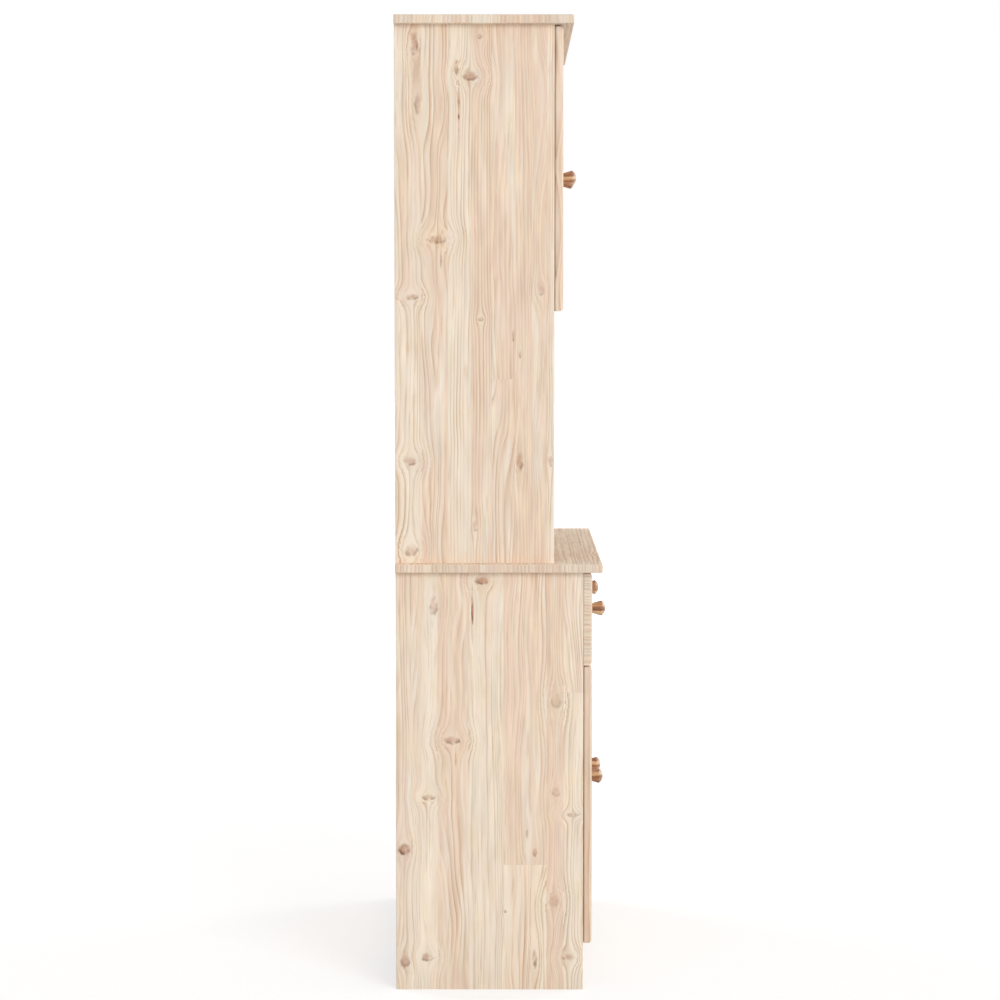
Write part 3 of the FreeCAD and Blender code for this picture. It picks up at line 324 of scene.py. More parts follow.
def make_pine_group():
    """Pale pine: swinging growth rings, soft streaks, fibres and knots, as solid wood through the board."""
    inputs = {"Grain": VECTOR, "Stave": COLOUR, **KNOT_OUTPUTS}
    inputs.update({label: NUMBER for label in ("Glue", "End", "Swing")})
    tree, net, entry, leaving = new_group("pine", inputs, FINISH_OUTPUTS)
    end = entry["End"]
    warmth, lightness, chance = net.parts(entry["Stave"])
    place = net.split(entry["Grain"])

    # A place in the wood for each stave, drawn out through the board on its ends
    across = net.total(place["Y"], entry["Bend"], net.product(chance, SHIFT_ACROSS))
    upright = net.product(place["Z"], net.total(1.0, net.product(end, -0.9)))
    through = net.total(upright, net.product(lightness, SHIFT_THROUGH))
    along = net.total(place["X"], net.product(chance, SHIFT_ALONG))
    wood = net.vector(along, across, through)

    # Growth rings, from pale early wood to a tan line
    sweep = net.noise(wood, (2.6, 11.0, 11.0), 2.0)
    waver = net.noise(wood, (9.0, 34.0, 34.0), 1.0)
    swing = net.product(net.ease(chance, 0.1, 0.9, *RING_SWING), entry["Swing"])
    tilt = net.product(net.total(lightness, -0.5), 1.3)
    wander = net.total(net.product(sweep, swing), net.product(waver, RING_WAVER))
    ring_place = net.total(across, net.product(through, tilt), wander)
    uneven = net.noise(net.vector(ring_place, chance, 0.0), (55.0, 1.0, 1.0), 1.0)
    spacing = net.total(RING_SPACING, net.product(chance, RING_WIDENING))
    rings = net.total(net.math("DIVIDE", ring_place, spacing), net.product(uneven, 3.2))
    ring = net.math("FRACT", rings)
    early = net.product(net.ease(ring, 0.0, 0.12), net.ease(ring, 0.15, 0.6, 1.0, 0.0))
    late = net.product(net.ease(ring, 0.35, 0.86), net.ease(ring, 0.9, 1.0, 1.0, 0.0))
    line = net.product(net.ease(ring, 0.74, 0.88), net.ease(ring, 0.9, 1.0, 1.0, 0.0))
    presence = net.ease(net.noise(wood, (3.0, 32.0, 32.0), 3.0, 0.6), 0.38, 0.68)
    calm = net.product(net.ease(warmth, 0.5, 1.0, 1.0, 0.3), net.ease(end, 0.0, 1.0, 1.0, 0.55))
    presence = net.product(presence, calm)

    # Streaks and fibres
    streak = net.noise(wood, (2.2, 42.0, 42.0), 4.0, 0.62)
    dash = net.noise(wood, (15.0, 170.0, 170.0), 2.0)
    thread = net.noise(wood, (9.0, 560.0, 560.0), 2.0)
    cloud = net.noise(wood, (6.0, 26.0, 26.0), 3.0)
    mottle = net.noise(wood, (17.0, 48.0, 48.0), 2.0)
    band = net.noise(wood, (11.0, 85.0, 85.0), 2.0)
    tone = net.total(streak, net.product(net.total(warmth, -0.45), 0.2))
    colour = net.mix(net.ease(tone, 0.38, 0.6), CREAM, PEACH)
    colour = net.mix(net.product(net.ease(warmth, 0.45, 0.0), 0.5), colour, PALE_GREEN)
    rosy = net.product(net.ease(cloud, 0.42, 0.6), net.total(0.2, net.product(warmth, 0.45)))
    colour = net.mix(rosy, colour, PINK)
    colour = net.mix(net.product(net.ease(mottle, 0.5, 0.66), 0.4), colour, HONEY)
    level = net.total(0.92, net.product(lightness, 0.11), net.product(net.total(thread, -0.5), 0.08))
    level = net.total(level, net.product(net.total(band, -0.5), 0.4), net.product(end, -0.05))
    colour = net.mix(1.0, colour, net.vector(level, level, level), "MULTIPLY")
    colour = net.mix(net.product(net.ease(dash, 0.56, 0.72), 0.4), colour, LATE_WOOD)
    colour = net.mix(net.product(early, 0.3), colour, EARLY_WOOD)
    colour = net.mix(net.product(late, net.total(0.07, net.product(presence, 0.6))), colour, LATE_WOOD)
    colour = net.mix(net.product(line, net.total(0.02, net.product(presence, 0.46))), colour, RING_LINE)
    colour = net.mix(net.product(entry["Glue"], 0.18), colour, RING_LINE)

    # Knots
    knot_colour = net.mix(net.total(0.25, net.product(entry["Rings"], 0.25)), KNOT_CORE, KNOT_RIM)
    colour = net.mix(entry["Core"], colour, knot_colour)
    colour = net.mix(net.product(entry["Rim"], 0.95), colour, KNOT_RIM)
    net.feed(leaving["Color"], colour)
    net.feed(leaving["Roughness"], net.total(0.56, net.product(thread, 0.14), net.product(end, 0.1)))
    relief = net.total(net.product(line, 0.8), net.product(thread, 0.5), net.product(entry["Core"], 0.4))
    net.feed(leaving["Height"], relief)
    return tree


STAVES = make_stave_group()
KNOT_GROUP = make_knot_group()
SCATTER = make_scatter_group(KNOT_GROUP)
PINE = make_pine_group()


def cleared(owner):
    """The wiring of a material or a world, emptied of its nodes."""
    owner.use_nodes = True
    owner.node_tree.nodes.clear()
    return Wiring(owner.node_tree)


def new_material(name):
    """A material, its wiring and its one shader."""
    material = bpy.data.materials.new(name)
    net = cleared(material)
    shader = net.node("ShaderNodeBsdfPrincipled")
    net.node("ShaderNodeOutputMaterial", {"Surface": shader.outputs[0]})
    return material, net, shader


def finish(net, shader, made, strength, depth):
    """Lead the outputs of a finish to the shader, with a bump of its own strength and depth."""
    net.feed(shader.inputs["Base Color"], made["Color"])
    net.feed(shader.inputs["Roughness"], made["Roughness"])
    bump = net.node("ShaderNodeBump", {"Height": made["Height"], "Strength": strength, "Distance": depth})
    net.feed(shader.inputs["Normal"], bump.outputs[0])


class Grain:
    """Object coordinates in an order of axes: along the grain, across the staves and through the board."""

    def __init__(self, net, order):
        places = net.node("ShaderNodeTexCoord").outputs
        spots = net.split(places["Object"])
        self.net = net
        self.order = order
        self.normal = places["Normal"]
        self.along, self.across, self.through = (spots[axis] for axis in order)
        self.place = net.vector(self.along, self.across, self.through)

    def facing(self, axis, low, high):
        """A mask of the surfaces that face along an axis, either way."""
        part = self.net.split(self.normal)[axis]
        return self.net.ease(self.net.math("ABSOLUTE", part), low, high)

    def end(self):
        """A mask of the end grain."""
        return self.facing(self.order[0], 0.6, 0.8)

    def face(self):
        """A mask of the two faces of the board."""
        return self.facing(self.order[2], 0.3, 0.6)


BARE_WOOD_SHINE = 0.3


def pine_shader(net, shader, grain, stave, glue, knots, swing=1.0):
    """Pine from its staves, and from knots that show on the faces of the board alone."""
    face = grain.face()
    inputs = {"Grain": grain.place, "Stave": stave, "Glue": glue, "End": grain.end(), "Swing": swing}
    for label in KNOT_OUTPUTS:
        inputs[label] = net.product(knots[label], face)
    made = net.group(PINE, inputs)
    shader.inputs["Specular IOR Level"].default_value = BARE_WOOD_SHINE
    finish(net, shader, made, strength=0.3, depth=0.0004)


# Staves of a common width and length, and the share of patches with a knot
STAVE_WIDTH = 0.044
STAVE_LENGTH = 0.95
KNOT_SHARE = 0.4


def board_pine(name, order, seed, swing):
    """Pine for a board whose staves and knots fall by chance, and whose grain swings more or less."""
    material, net, shader = new_material(name)
    grain = Grain(net, order)
    places = {"Along": grain.along, "Across": grain.across, "Seed": seed}
    staves = net.group(STAVES, {**places, "Length": STAVE_LENGTH, "Width": STAVE_WIDTH})
    knots = net.group(SCATTER, {**places, "Share": KNOT_SHARE})
    pine_shader(net, shader, grain, staves["Stave"], staves["Glue"], knots, swing)
    return material


def joined_knots(net, along, across, knots):
    """The knots of a side as one: the strongest core and rim, and the sums of rings and bends."""
    ragged, patchy = knot_noise(net, along, across)
    places = {"Along": along, "Across": across, "Ragged": ragged, "Patchy": patchy}
    joined = {}
    for height, inset, half_length, half_width, strength in knots:
        spot = {"Knot along": height, "Knot across": inset, "Strength": strength}
        made = net.group(KNOT_GROUP, {**places, **spot, "Half length": half_length, "Half width": half_width})
        rings = net.product(made["Rings"], made["Core"])
        bend = net.product(made["Bend"], -1.0)
        found = {"Core": made["Core"], "Rim": made["Rim"], "Rings": rings, "Bend": bend}
        for label, value in found.items():
            if label not in joined:
                joined[label] = value
            elif label in ("Core", "Rim"):
                joined[label] = net.math("MAXIMUM", joined[label], value)
            else:
                joined[label] = net.total(joined[label], value)
    return joined


SIDE_BUTT_SHARE = 0.3


def side_pine(name, side, staves, joints, knots):
    """Pine for a side whose staves, joints and knots have their own places, measured from back and floor."""
    material, net, shader = new_material(name)
    grain = Grain(net, "ZYX")
    from_back = net.math("SUBTRACT", BACK, grain.across)
    depth = side[1].y - side[0].y
    share = net.math("DIVIDE", from_back, depth)
    upper_tints = [tint for _, *tint in staves]
    lower_tints = list(upper_tints)
    top = side[1].z
    levels = [0.0] * len(staves)
    for number, height, *tint in joints:
        lower_tints[number] = tint
        levels[number] = height / top

    def along_staves(colours):
        """One colour over each stave, from its own inset to the next."""
        stops = [(stave[0] / depth, (*colour, 1.0)) for stave, colour in zip(staves, colours)]
        return net.ramp(share, stops, "CONSTANT")

    level = net.parts(along_staves([(value, value, value) for value in levels]))[0]
    above_joint = net.math("SUBTRACT", grain.along, net.product(level, top))
    below = net.math("LESS_THAN", above_joint, 0.0)
    stave = net.mix(below, along_staves(upper_tints), along_staves(lower_tints))
    butt = net.ease(net.math("ABSOLUTE", above_joint), *BUTT_LINE, SIDE_BUTT_SHARE, 0.0)
    pine_shader(net, shader, grain, stave, butt, joined_knots(net, grain.along, from_back, knots))
    return material


# A stave: its inset from the back, then warmth, lightness and chance
UPPER_STAVES = (
    (0.000, 0.25, 0.74, 0.55),
    (0.045, 0.40, 0.66, 0.95),
    (0.088, 0.12, 0.80, 0.35),
    (0.127, 0.48, 0.52, 0.15),
    (0.163, 0.74, 0.64, 0.48),
    (0.202, 0.85, 0.58, 0.22),
    (0.230, 0.95, 0.50, 0.74),
    (0.255, 0.35, 0.62, 0.05),
)
LOWER_STAVES = (
    (0.000, 0.35, 0.74, 0.31),
    (0.026, 0.20, 1.00, 0.66),
    (0.070, 0.48, 0.80, 0.98),
    (0.122, 0.10, 1.00, 0.40),
    (0.182, 0.66, 0.88, 0.52),
    (0.255, 0.92, 0.64, 0.20),
    (0.284, 0.25, 1.00, 0.77),
)

# A joint: the stave it lies in, its height, then warmth, lightness and chance of the length below it
UPPER_JOINTS = (
    (0, 1.172, 0.16, 1.10, 0.31),
    (4, 1.040, 0.50, 0.60, 0.86),
)
LOWER_JOINTS = (
    (1, 0.323, 0.05, 1.35, 0.12),
    (4, 0.215, 0.15, 1.35, 0.83),
    (6, 0.510, 0.12, 1.00, 0.35),
)

# A knot: its height, its inset from the back, half its length, half its width and its strength
UPPER_KNOTS = (
    (1.545, 0.127, 0.0060, 0.0110, 0.65), (1.611, 0.143, 0.0040, 0.0040, 0.50),
    (1.601, 0.034, 0.0160, 0.0055, 0.80), (1.502, 0.040, 0.0160, 0.0050, 0.55),
    (1.274, 0.071, 0.0060, 0.0120, 0.70), (1.178, 0.029, 0.0045, 0.0100, 0.60),
    (1.188, 0.245, 0.0070, 0.0050, 0.35), (1.141, 0.145, 0.0035, 0.0040, 0.50),
    (1.114, 0.199, 0.0090, 0.0016, 0.50), (1.082, 0.211, 0.0060, 0.0020, 0.50),
    (0.902, 0.025, 0.0060, 0.0100, 0.60), (0.752, 0.027, 0.0090, 0.0100, 0.50),
    (0.902, 0.210, 0.0140, 0.0040, 0.60), (0.901, 0.262, 0.0090, 0.0035, 0.60),
    (0.793, 0.135, 0.0080, 0.0030, 0.50), (1.505, 0.108, 0.0380, 0.0016, 1.00),
    (1.560, 0.104, 0.0120, 0.0025, 0.60), (1.245, 0.078, 0.0150, 0.0014, 0.50),
)
LOWER_KNOTS = (
    (0.700, 0.148, 0.0055, 0.0110, 0.80), (0.657, 0.065, 0.0170, 0.0055, 0.60),
    (0.429, 0.095, 0.0060, 0.0120, 0.70), (0.496, 0.272, 0.0110, 0.0080, 0.30),
    (0.331, 0.055, 0.0045, 0.0090, 0.55), (0.340, 0.272, 0.0070, 0.0060, 0.40),
    (0.301, 0.299, 0.0030, 0.0100, 0.55), (0.242, 0.014, 0.0090, 0.0080, 1.00),
    (0.237, 0.236, 0.0060, 0.0030, 0.50), (0.268, 0.223, 0.0080, 0.0018, 0.50),
    (0.135, 0.185, 0.0025, 0.0025, 0.60), (0.153, 0.269, 0.0090, 0.0080, 0.28),
    (0.051, 0.015, 0.0120, 0.0070, 0.55), (0.056, 0.052, 0.0060, 0.0090, 0.65),
    (0.056, 0.236, 0.0140, 0.0035, 0.60), (0.056, 0.293, 0.0055, 0.0085, 0.90),
    (0.658, 0.130, 0.0280, 0.0016, 1.00), (0.402, 0.102, 0.0140, 0.0014, 0.50),
)


# Knob wood, plywood, beech and metals

KNOB_TONES = (
    (0.36, shade(138, 92, 63)),
    (0.46, shade(168, 117, 83)),
    (0.55, shade(181, 132, 97)),
    (0.64, shade(206, 167, 128)),
)
KNOB_DARK_BAND = shade(116, 76, 50)
KNOB_PALE_BAND = shade(222, 192, 152)
KNOB_STREAK = shade(134, 84, 52)
KNOB_PORE = shade(104, 62, 36)

# A knob's bands: how far they waver, where they fade out, and how far the dark ones lie from the pale one
BAND_WAVER = 0.007
PALE_BAND_FADE = (0.0014, 0.0038)
DARK_BAND_AWAY = 0.0056
DARK_BAND_FADE = (0.0006, 0.0026)


def make_turned_wood_group():
    """Honey-brown turned wood with streaks along the knob's axis, and one pale band between two dark ones."""
    inputs = {"Grain": VECTOR, "Above band": NUMBER}
    tree, net, entry, leaving = new_group("turned_wood", inputs, FINISH_OUTPUTS)
    wood = entry["Grain"]
    broad = net.noise(wood, (9.0, 50.0, 150.0), 2.0)
    fine = net.noise(wood, (30.0, 180.0, 520.0), 3.0, 0.6)
    pore = net.noise(wood, (110.0, 1500.0, 1500.0), 1.0)
    waver = net.noise(wood, (28.0, 45.0, 45.0), 2.0)
    band = net.total(entry["Above band"], net.product(net.total(waver, -0.5), BAND_WAVER))
    from_band = net.math("ABSOLUTE", band)
    from_dark = net.math("ABSOLUTE", net.total(from_band, -DARK_BAND_AWAY))
    pale = net.ease(from_band, *PALE_BAND_FADE, 1.0, 0.0)
    dark = net.ease(from_dark, *DARK_BAND_FADE, 1.0, 0.0)
    colour = net.ramp(broad, KNOB_TONES)
    colour = net.mix(net.product(dark, 0.5), colour, KNOB_DARK_BAND)
    colour = net.mix(net.product(pale, 0.62), colour, KNOB_PALE_BAND)
    colour = net.mix(net.product(net.ease(fine, 0.5, 0.72), 0.4), colour, KNOB_STREAK)
    colour = net.mix(net.product(net.ease(pore, 0.6, 0.75), 0.3), colour, KNOB_PORE)
    net.feed(leaving["Color"], colour)
    net.feed(leaving["Roughness"], net.total(0.3, net.product(fine, 0.16)))
    net.feed(leaving["Height"], net.total(fine, pore))
    return tree


VENEER = shade(233, 215, 191)
VENEER_FLAME = shade(214, 187, 156)
VENEER_FIBRE = shade(198, 168, 134)
LONG_PLY = shade(218, 194, 160)
CROSS_PLY = shade(176, 136, 98)
PLY_COUNT = 5


def make_ply_group():
    """Rotary-cut veneer on the faces, and the plies as bands on the edges."""
    inputs = {"Grain": VECTOR, "Edge": NUMBER, "Depth": NUMBER}
    tree, net, entry, leaving = new_group("plywood", inputs, FINISH_OUTPUTS)
    veneer = entry["Grain"]
    wander = net.noise(veneer, (0.75, 4.6, 4.6), 2.0)
    ragged = net.noise(veneer, (6.0, 60.0, 60.0), 2.0)
    thread = net.noise(veneer, (14.0, 520.0, 520.0), 2.0)
    across = net.split(veneer)["Y"]
    rings = net.total(net.product(wander, 24.0), net.product(across, 5.0), net.product(ragged, 0.5))
    ring = net.math("FRACT", rings)
    line = net.product(net.ease(ring, 0.3, 0.9), net.ease(ring, 0.9, 1.0, 1.0, 0.0))
    colour = net.mix(net.product(line, 0.5), VENEER, VENEER_FLAME)
    colour = net.mix(net.product(net.ease(thread, 0.5, 0.75), 0.25), colour, VENEER_FIBRE)
    long_ply = net.ease(net.math("SINE", net.product(entry["Depth"], PLY_COUNT * math.pi)), -0.2, 0.2)
    edge_colour = net.mix(long_ply, CROSS_PLY, LONG_PLY)
    net.feed(leaving["Color"], net.mix(entry["Edge"], colour, edge_colour))
    net.feed(leaving["Roughness"], net.total(0.58, net.product(thread, 0.15)))
    net.feed(leaving["Height"], net.total(thread, net.product(line, 0.4)))
    return tree


BEECH_PALE = shade(222, 186, 150)
BEECH_DEEP = shade(206, 166, 128)
BEECH_FLECK = shade(168, 122, 86)


def make_beech_group():
    """Beech with the short dark flecks of its rays."""
    tree, net, entry, leaving = new_group("beech", {"Grain": VECTOR}, FINISH_OUTPUTS)
    soft = net.noise(entry["Grain"], (3.0, 40.0, 40.0), 2.0)
    fleck = net.noise(entry["Grain"], (240.0, 1900.0, 1900.0), 1.0)
    colour = net.mix(soft, BEECH_PALE, BEECH_DEEP)
    colour = net.mix(net.product(net.ease(fleck, 0.6, 0.7), 0.55), colour, BEECH_FLECK)
    net.feed(leaving["Color"], colour)
    net.feed(leaving["Roughness"], net.total(0.45, net.product(soft, 0.2)))
    net.feed(leaving["Height"], fleck)
    return tree


def make_plating_group():
    """Plated metal: drawn scratches, cloudy patches and a few dull spots."""
    inputs = {"Place": VECTOR, "Bright": COLOUR, "Dull": COLOUR, "Polish": NUMBER}
    tree, net, entry, leaving = new_group("plating", inputs, FINISH_OUTPUTS)
    scratch = net.noise(entry["Place"], (2600.0, 2600.0, 120.0), 2.0)
    patch = net.noise(entry["Place"], (70.0, 70.0, 70.0), 3.0, 0.6)
    spot = net.noise(entry["Place"], (420.0, 420.0, 420.0), 1.0)
    cloudy = net.product(net.ease(patch, 0.35, 0.75), 0.6)
    dullness = net.total(cloudy, net.product(net.ease(spot, 0.62, 0.75), 0.4))
    net.feed(leaving["Color"], net.mix(dullness, entry["Bright"], entry["Dull"]))
    rough = net.total(entry["Polish"], net.product(scratch, 0.12), net.product(dullness, 0.16))
    net.feed(leaving["Roughness"], rough)
    net.feed(leaving["Height"], scratch)
    return tree


TURNED_WOOD = make_turned_wood_group()
PLYWOOD = make_ply_group()
BEECH = make_beech_group()
PLATING = make_plating_group()


VARNISH = 0.35
VARNISH_ROUGHNESS = 0.22


def knob_material(name, band_height):
    """Turned wood whose pale band lies at its own height above the floor."""
    material, net, shader = new_material(name)
    grain = Grain(net, "YXZ")
    above = net.math("SUBTRACT", grain.through, band_height)
    made = net.group(TURNED_WOOD, {"Grain": grain.place, "Above band": above})
    finish(net, shader, made, strength=0.12, depth=0.0003)
    shader.inputs["Coat Weight"].default_value = VARNISH
    shader.inputs["Coat Roughness"].default_value = VARNISH_ROUGHNESS
    return material


def plywood_material(name, order, panel, shift):
    """Plywood whose plies lie along the last axis of the order, with a figure shifted along the panel."""
    material, net, shader = new_material(name)
    grain = Grain(net, order)
    low, high = extent(panel)
    last = "XYZ".index(order[2])
    veneer = net.vector(net.total(grain.along, shift), net.total(grain.across, shift), grain.through)
    edge = net.math("SUBTRACT", 1.0, grain.face())
    depth = net.math("DIVIDE", net.math("SUBTRACT", grain.through, low[last]), high[last] - low[last])
    made = net.group(PLYWOOD, {"Grain": veneer, "Edge": edge, "Depth": depth})
    shader.inputs["Specular IOR Level"].default_value = BARE_WOOD_SHINE
    finish(net, shader, made, strength=0.2, depth=0.0003)
    return material


def beech_material(name, order):
    """Plain beech in a grain order."""
    material, net, shader = new_material(name)
    made = net.group(BEECH, {"Grain": Grain(net, order).place})
    finish(net, shader, made, strength=0.15, depth=0.0002)
    return material


def metal_material(name, bright, dull, polish):
    """Plated metal of two tones. A smaller polish number is a smoother one."""
    material, net, shader = new_material(name)
    place = net.node("ShaderNodeTexCoord").outputs["Object"]
    made = net.group(PLATING, {"Place": place, "Bright": bright, "Dull": dull, "Polish": polish})
    shader.inputs["Metallic"].default_value = 1.0
    finish(net, shader, made, strength=0.08, depth=0.0001)
    return material


# Where the pale bands of the lower knobs lie off their middles, and the bright and dull tones of metals
DRAWER_BAND_DROP = 0.0075
LOWER_BAND_RISE = 0.004
NICKEL = (shade(214, 210, 202), shade(176, 172, 164))
STEEL = (shade(196, 196, 194), shade(150, 149, 146))
ZINC = (shade(178, 178, 174), shade(132, 131, 127))

upper_near_side = side_pine("pine_upper_left_side", UPPER_SIDE, UPPER_STAVES, UPPER_JOINTS, UPPER_KNOTS)
lower_near_side = side_pine("pine_lower_left_side", LOWER_SIDE, LOWER_STAVES, LOWER_JOINTS, LOWER_KNOTS)
upper_knob_wood = knob_material("upper_knob_wood", UPPER_KNOB)
drawer_knob_wood = knob_material("drawer_knob_wood", DRAWER_KNOB - DRAWER_BAND_DROP)
lower_knob_wood = knob_material("lower_knob_wood", LOWER_KNOB + LOWER_BAND_RISE)
upper_back_plywood = plywood_material("plywood_upper_back", "ZXY", "upper_back_panel", shift=0.0)
lower_back_plywood = plywood_material("plywood_lower_back", "ZXY", "lower_back_panel", shift=4.3)
bottom_plywood = plywood_material("plywood_drawer", "XYZ", "left_drawer_bottom", shift=1.7)
dowel_beech = beech_material("beech_dowel", "XYZ")
hinge_nickel = metal_material("nickel_hinge", *NICKEL, polish=0.2)
fitting_steel = metal_material("steel_fitting", *STEEL, polish=0.26)
cast_zinc = metal_material("zinc_cam", *ZINC, polish=0.38)

# Finishes and grain orders by the ending of a node's name, where the first that fits is taken
FINISHES = {
    "upper_left_side": upper_near_side,
    "lower_left_side": lower_near_side,
    "upper_back_panel": upper_back_plywood,
    "lower_back_panel": lower_back_plywood,
    "drawer_bottom": bottom_plywood,
    "dowels": dowel_beech,
    "drawer_knob": drawer_knob_wood,
    "lower_left_door_knob": lower_knob_wood,
    "lower_right_door_knob": lower_knob_wood,
    "door_knob": upper_knob_wood,
    "knob_screw": fitting_steel,
    "shelf_pins": fitting_steel,
    "cam_bolts": fitting_steel,
    "cam_locks": cast_zinc,
    "hinge_arms": hinge_nickel,
    "hinge_plates": hinge_nickel,
    "hinge_cups": hinge_nickel,
    "hinge_pins": fitting_steel,
}
GRAIN_ORDERS = {
    "door_panel": "ZXY",
    "drawer_left_side": "YZX",
    "drawer_right_side": "YZX",
    "drawer_runners": "YZX",
    "right_side": "ZYX",
    "drawer_divider": "ZYX",
    "drawer_front": "XZY",
    "drawer_back": "XZY",
    "plinth_rail": "XZY",
}
STRAIGHT_BOARDS = ("worktop", "top_board")
STRAIGHT_SWING = 0.2
FIRST_SEED = 1.83
SEED_STEP = 2.37


def finish_of(name, number):
    """The finish of a node. Every pine board has a figure of its own."""
    for ending, material in FINISHES.items():
        if name.endswith(ending):
            return material
    seed = FIRST_SEED + SEED_STEP * number
    swing = STRAIGHT_SWING if name in STRAIGHT_BOARDS else 1.0
    for ending, order in GRAIN_ORDERS.items():
        if name.endswith(ending):
            return board_pine(f"pine_{name}", order, seed, swing)
    return board_pine(f"pine_{name}", "XYZ", seed, swing)


for number, (name, piece) in enumerate(sorted(nodes.items())):
    finish_material = finish_of(name, number)
    for material_slot in piece.material_slots:
        material_slot.material = finish_material


# Screws and pins

# Shares of a head's radius: the slab that trims it and the bars of its recess
SLAB_WIDTH = 3.0
RECESS_LENGTH = 1.15
RECESS_BREADTH = 0.26


def make_head_tree():
    """Round heads, one at each point of a mesh, each facing its own way, with a cross recess or plain."""
    tree = bpy.data.node_groups.new("fastener_heads", "GeometryNodeTree")
    entries = {
        "Places": "NodeSocketGeometry",
        "Radius": NUMBER,
        "Dome": NUMBER,
        "Height": NUMBER,
        "Facets": "NodeSocketInt",
        "Crossed": "NodeSocketBool",
        "Seed": "NodeSocketInt",
        "Finish": "NodeSocketMaterial",
    }
    ports = {}
    for label, kind in entries.items():
        ports[label] = tree.interface.new_socket(label, in_out="INPUT", socket_type=kind).identifier
    tree.interface.new_socket("Heads", in_out="OUTPUT", socket_type="NodeSocketGeometry")
    net = Wiring(tree)
    entry = net.node("NodeGroupInput").outputs

    # A flattened ball, kept between its middle and the height of the head
    rings = net.math("DIVIDE", entry["Facets"], 2.0)
    ball = net.node("GeometryNodeMeshUVSphere", {"Segments": entry["Facets"], "Rings": rings, "Radius": 1.0})
    squash = net.vector(entry["Radius"], entry["Radius"], entry["Dome"])
    dome = net.node("GeometryNodeTransform", {"Geometry": ball.outputs["Mesh"], "Scale": squash}).outputs[0]
    width = net.product(entry["Radius"], SLAB_WIDTH)
    slab_size = net.vector(width, width, entry["Height"])
    slab = net.node("GeometryNodeMeshCube", {"Size": slab_size}).outputs["Mesh"]
    lift = net.vector(0.0, 0.0, net.product(entry["Height"], 0.5))
    slab = net.node("GeometryNodeTransform", {"Geometry": slab, "Translation": lift}).outputs[0]
    head = net.node("GeometryNodeMeshBoolean", {"Mesh 2": dome}, operation="INTERSECT", solver="EXACT")
    tree.links.new(slab, head.inputs["Mesh 2"])
    plain = head.outputs["Mesh"]

    # A cross recess
    cut = net.node("GeometryNodeMeshBoolean", {"Mesh 1": plain}, operation="DIFFERENCE", solver="EXACT")
    length = net.product(entry["Radius"], RECESS_LENGTH)
    breadth = net.product(entry["Radius"], RECESS_BREADTH)
    top = net.vector(0.0, 0.0, entry["Height"])
    for size_x, size_y in ((length, breadth), (breadth, length)):
        bar_size = net.vector(size_x, size_y, entry["Height"])
        bar = net.node("GeometryNodeMeshCube", {"Size": bar_size}).outputs["Mesh"]
        bar = net.node("GeometryNodeTransform", {"Geometry": bar, "Translation": top}).outputs[0]
        tree.links.new(bar, cut.inputs["Mesh 2"])
    choice = {"Switch": entry["Crossed"], "False": plain, "True": cut.outputs["Mesh"]}
    shape = net.node("GeometryNodeSwitch", choice, input_type="GEOMETRY").outputs[0]

    # Each head in its place, with a turn of its own
    facing = net.node("GeometryNodeInputNamedAttribute", {"Name": "facing"}, data_type="FLOAT_VECTOR")
    aim = net.node("FunctionNodeAlignRotationToVector", {"Vector": facing.outputs[0]}, axis="Z").outputs[0]
    chance = net.node("FunctionNodeRandomValue", {"Seed": entry["Seed"]}, data_type="FLOAT")
    least, most = [socket for socket in chance.inputs if socket.type == "VALUE"][:2]
    net.feed(least, 0.0)
    net.feed(most, 2.0 * math.pi)
    angle = [socket for socket in chance.outputs if socket.type == "VALUE"][0]
    roll = net.node("FunctionNodeAxisAngleToRotation", {"Axis": (0.0, 0.0, 1.0), "Angle": angle}).outputs[0]
    turn = {"Rotation": aim, "Rotate By": roll}
    turned = net.node("FunctionNodeRotateRotation", turn, rotation_space="LOCAL").outputs[0]
    copies = {"Points": entry["Places"], "Instance": shape, "Rotation": turned}
    placed = net.node("GeometryNodeInstanceOnPoints", copies).outputs[0]
    solid = net.node("GeometryNodeRealizeInstances", {"Geometry": placed}).outputs[0]
    painted = net.node("GeometryNodeSetMaterial", {"Geometry": solid, "Material": entry["Finish"]}).outputs[0]
    net.node("NodeGroupOutput", {"Heads": painted})
    return tree, ports


HEAD_TREE, HEAD_PORTS = make_head_tree()
HEAD_SEED = 7
PAN_SCREW = {"Radius": 0.0034, "Dome": 0.0016, "Height": 0.0013, "Facets": 20, "Crossed": True}
FLANGE_SCREW = {"Radius": 0.0033, "Dome": 0.0012, "Height": 0.0009, "Facets": 20, "Crossed": True}
ARM_SCREW = {"Radius": 0.0031, "Dome": 0.0015, "Height": 0.0011, "Facets": 20, "Crossed": True}
FLUSH_SCREW = {"Radius": 0.0035, "Dome": 0.0006, "Height": 0.0002, "Facets": 20, "Crossed": True}
PIN_HEAD = {"Radius": 0.0014, "Dome": 0.0005, "Height": 0.00045, "Facets": 10, "Crossed": False}


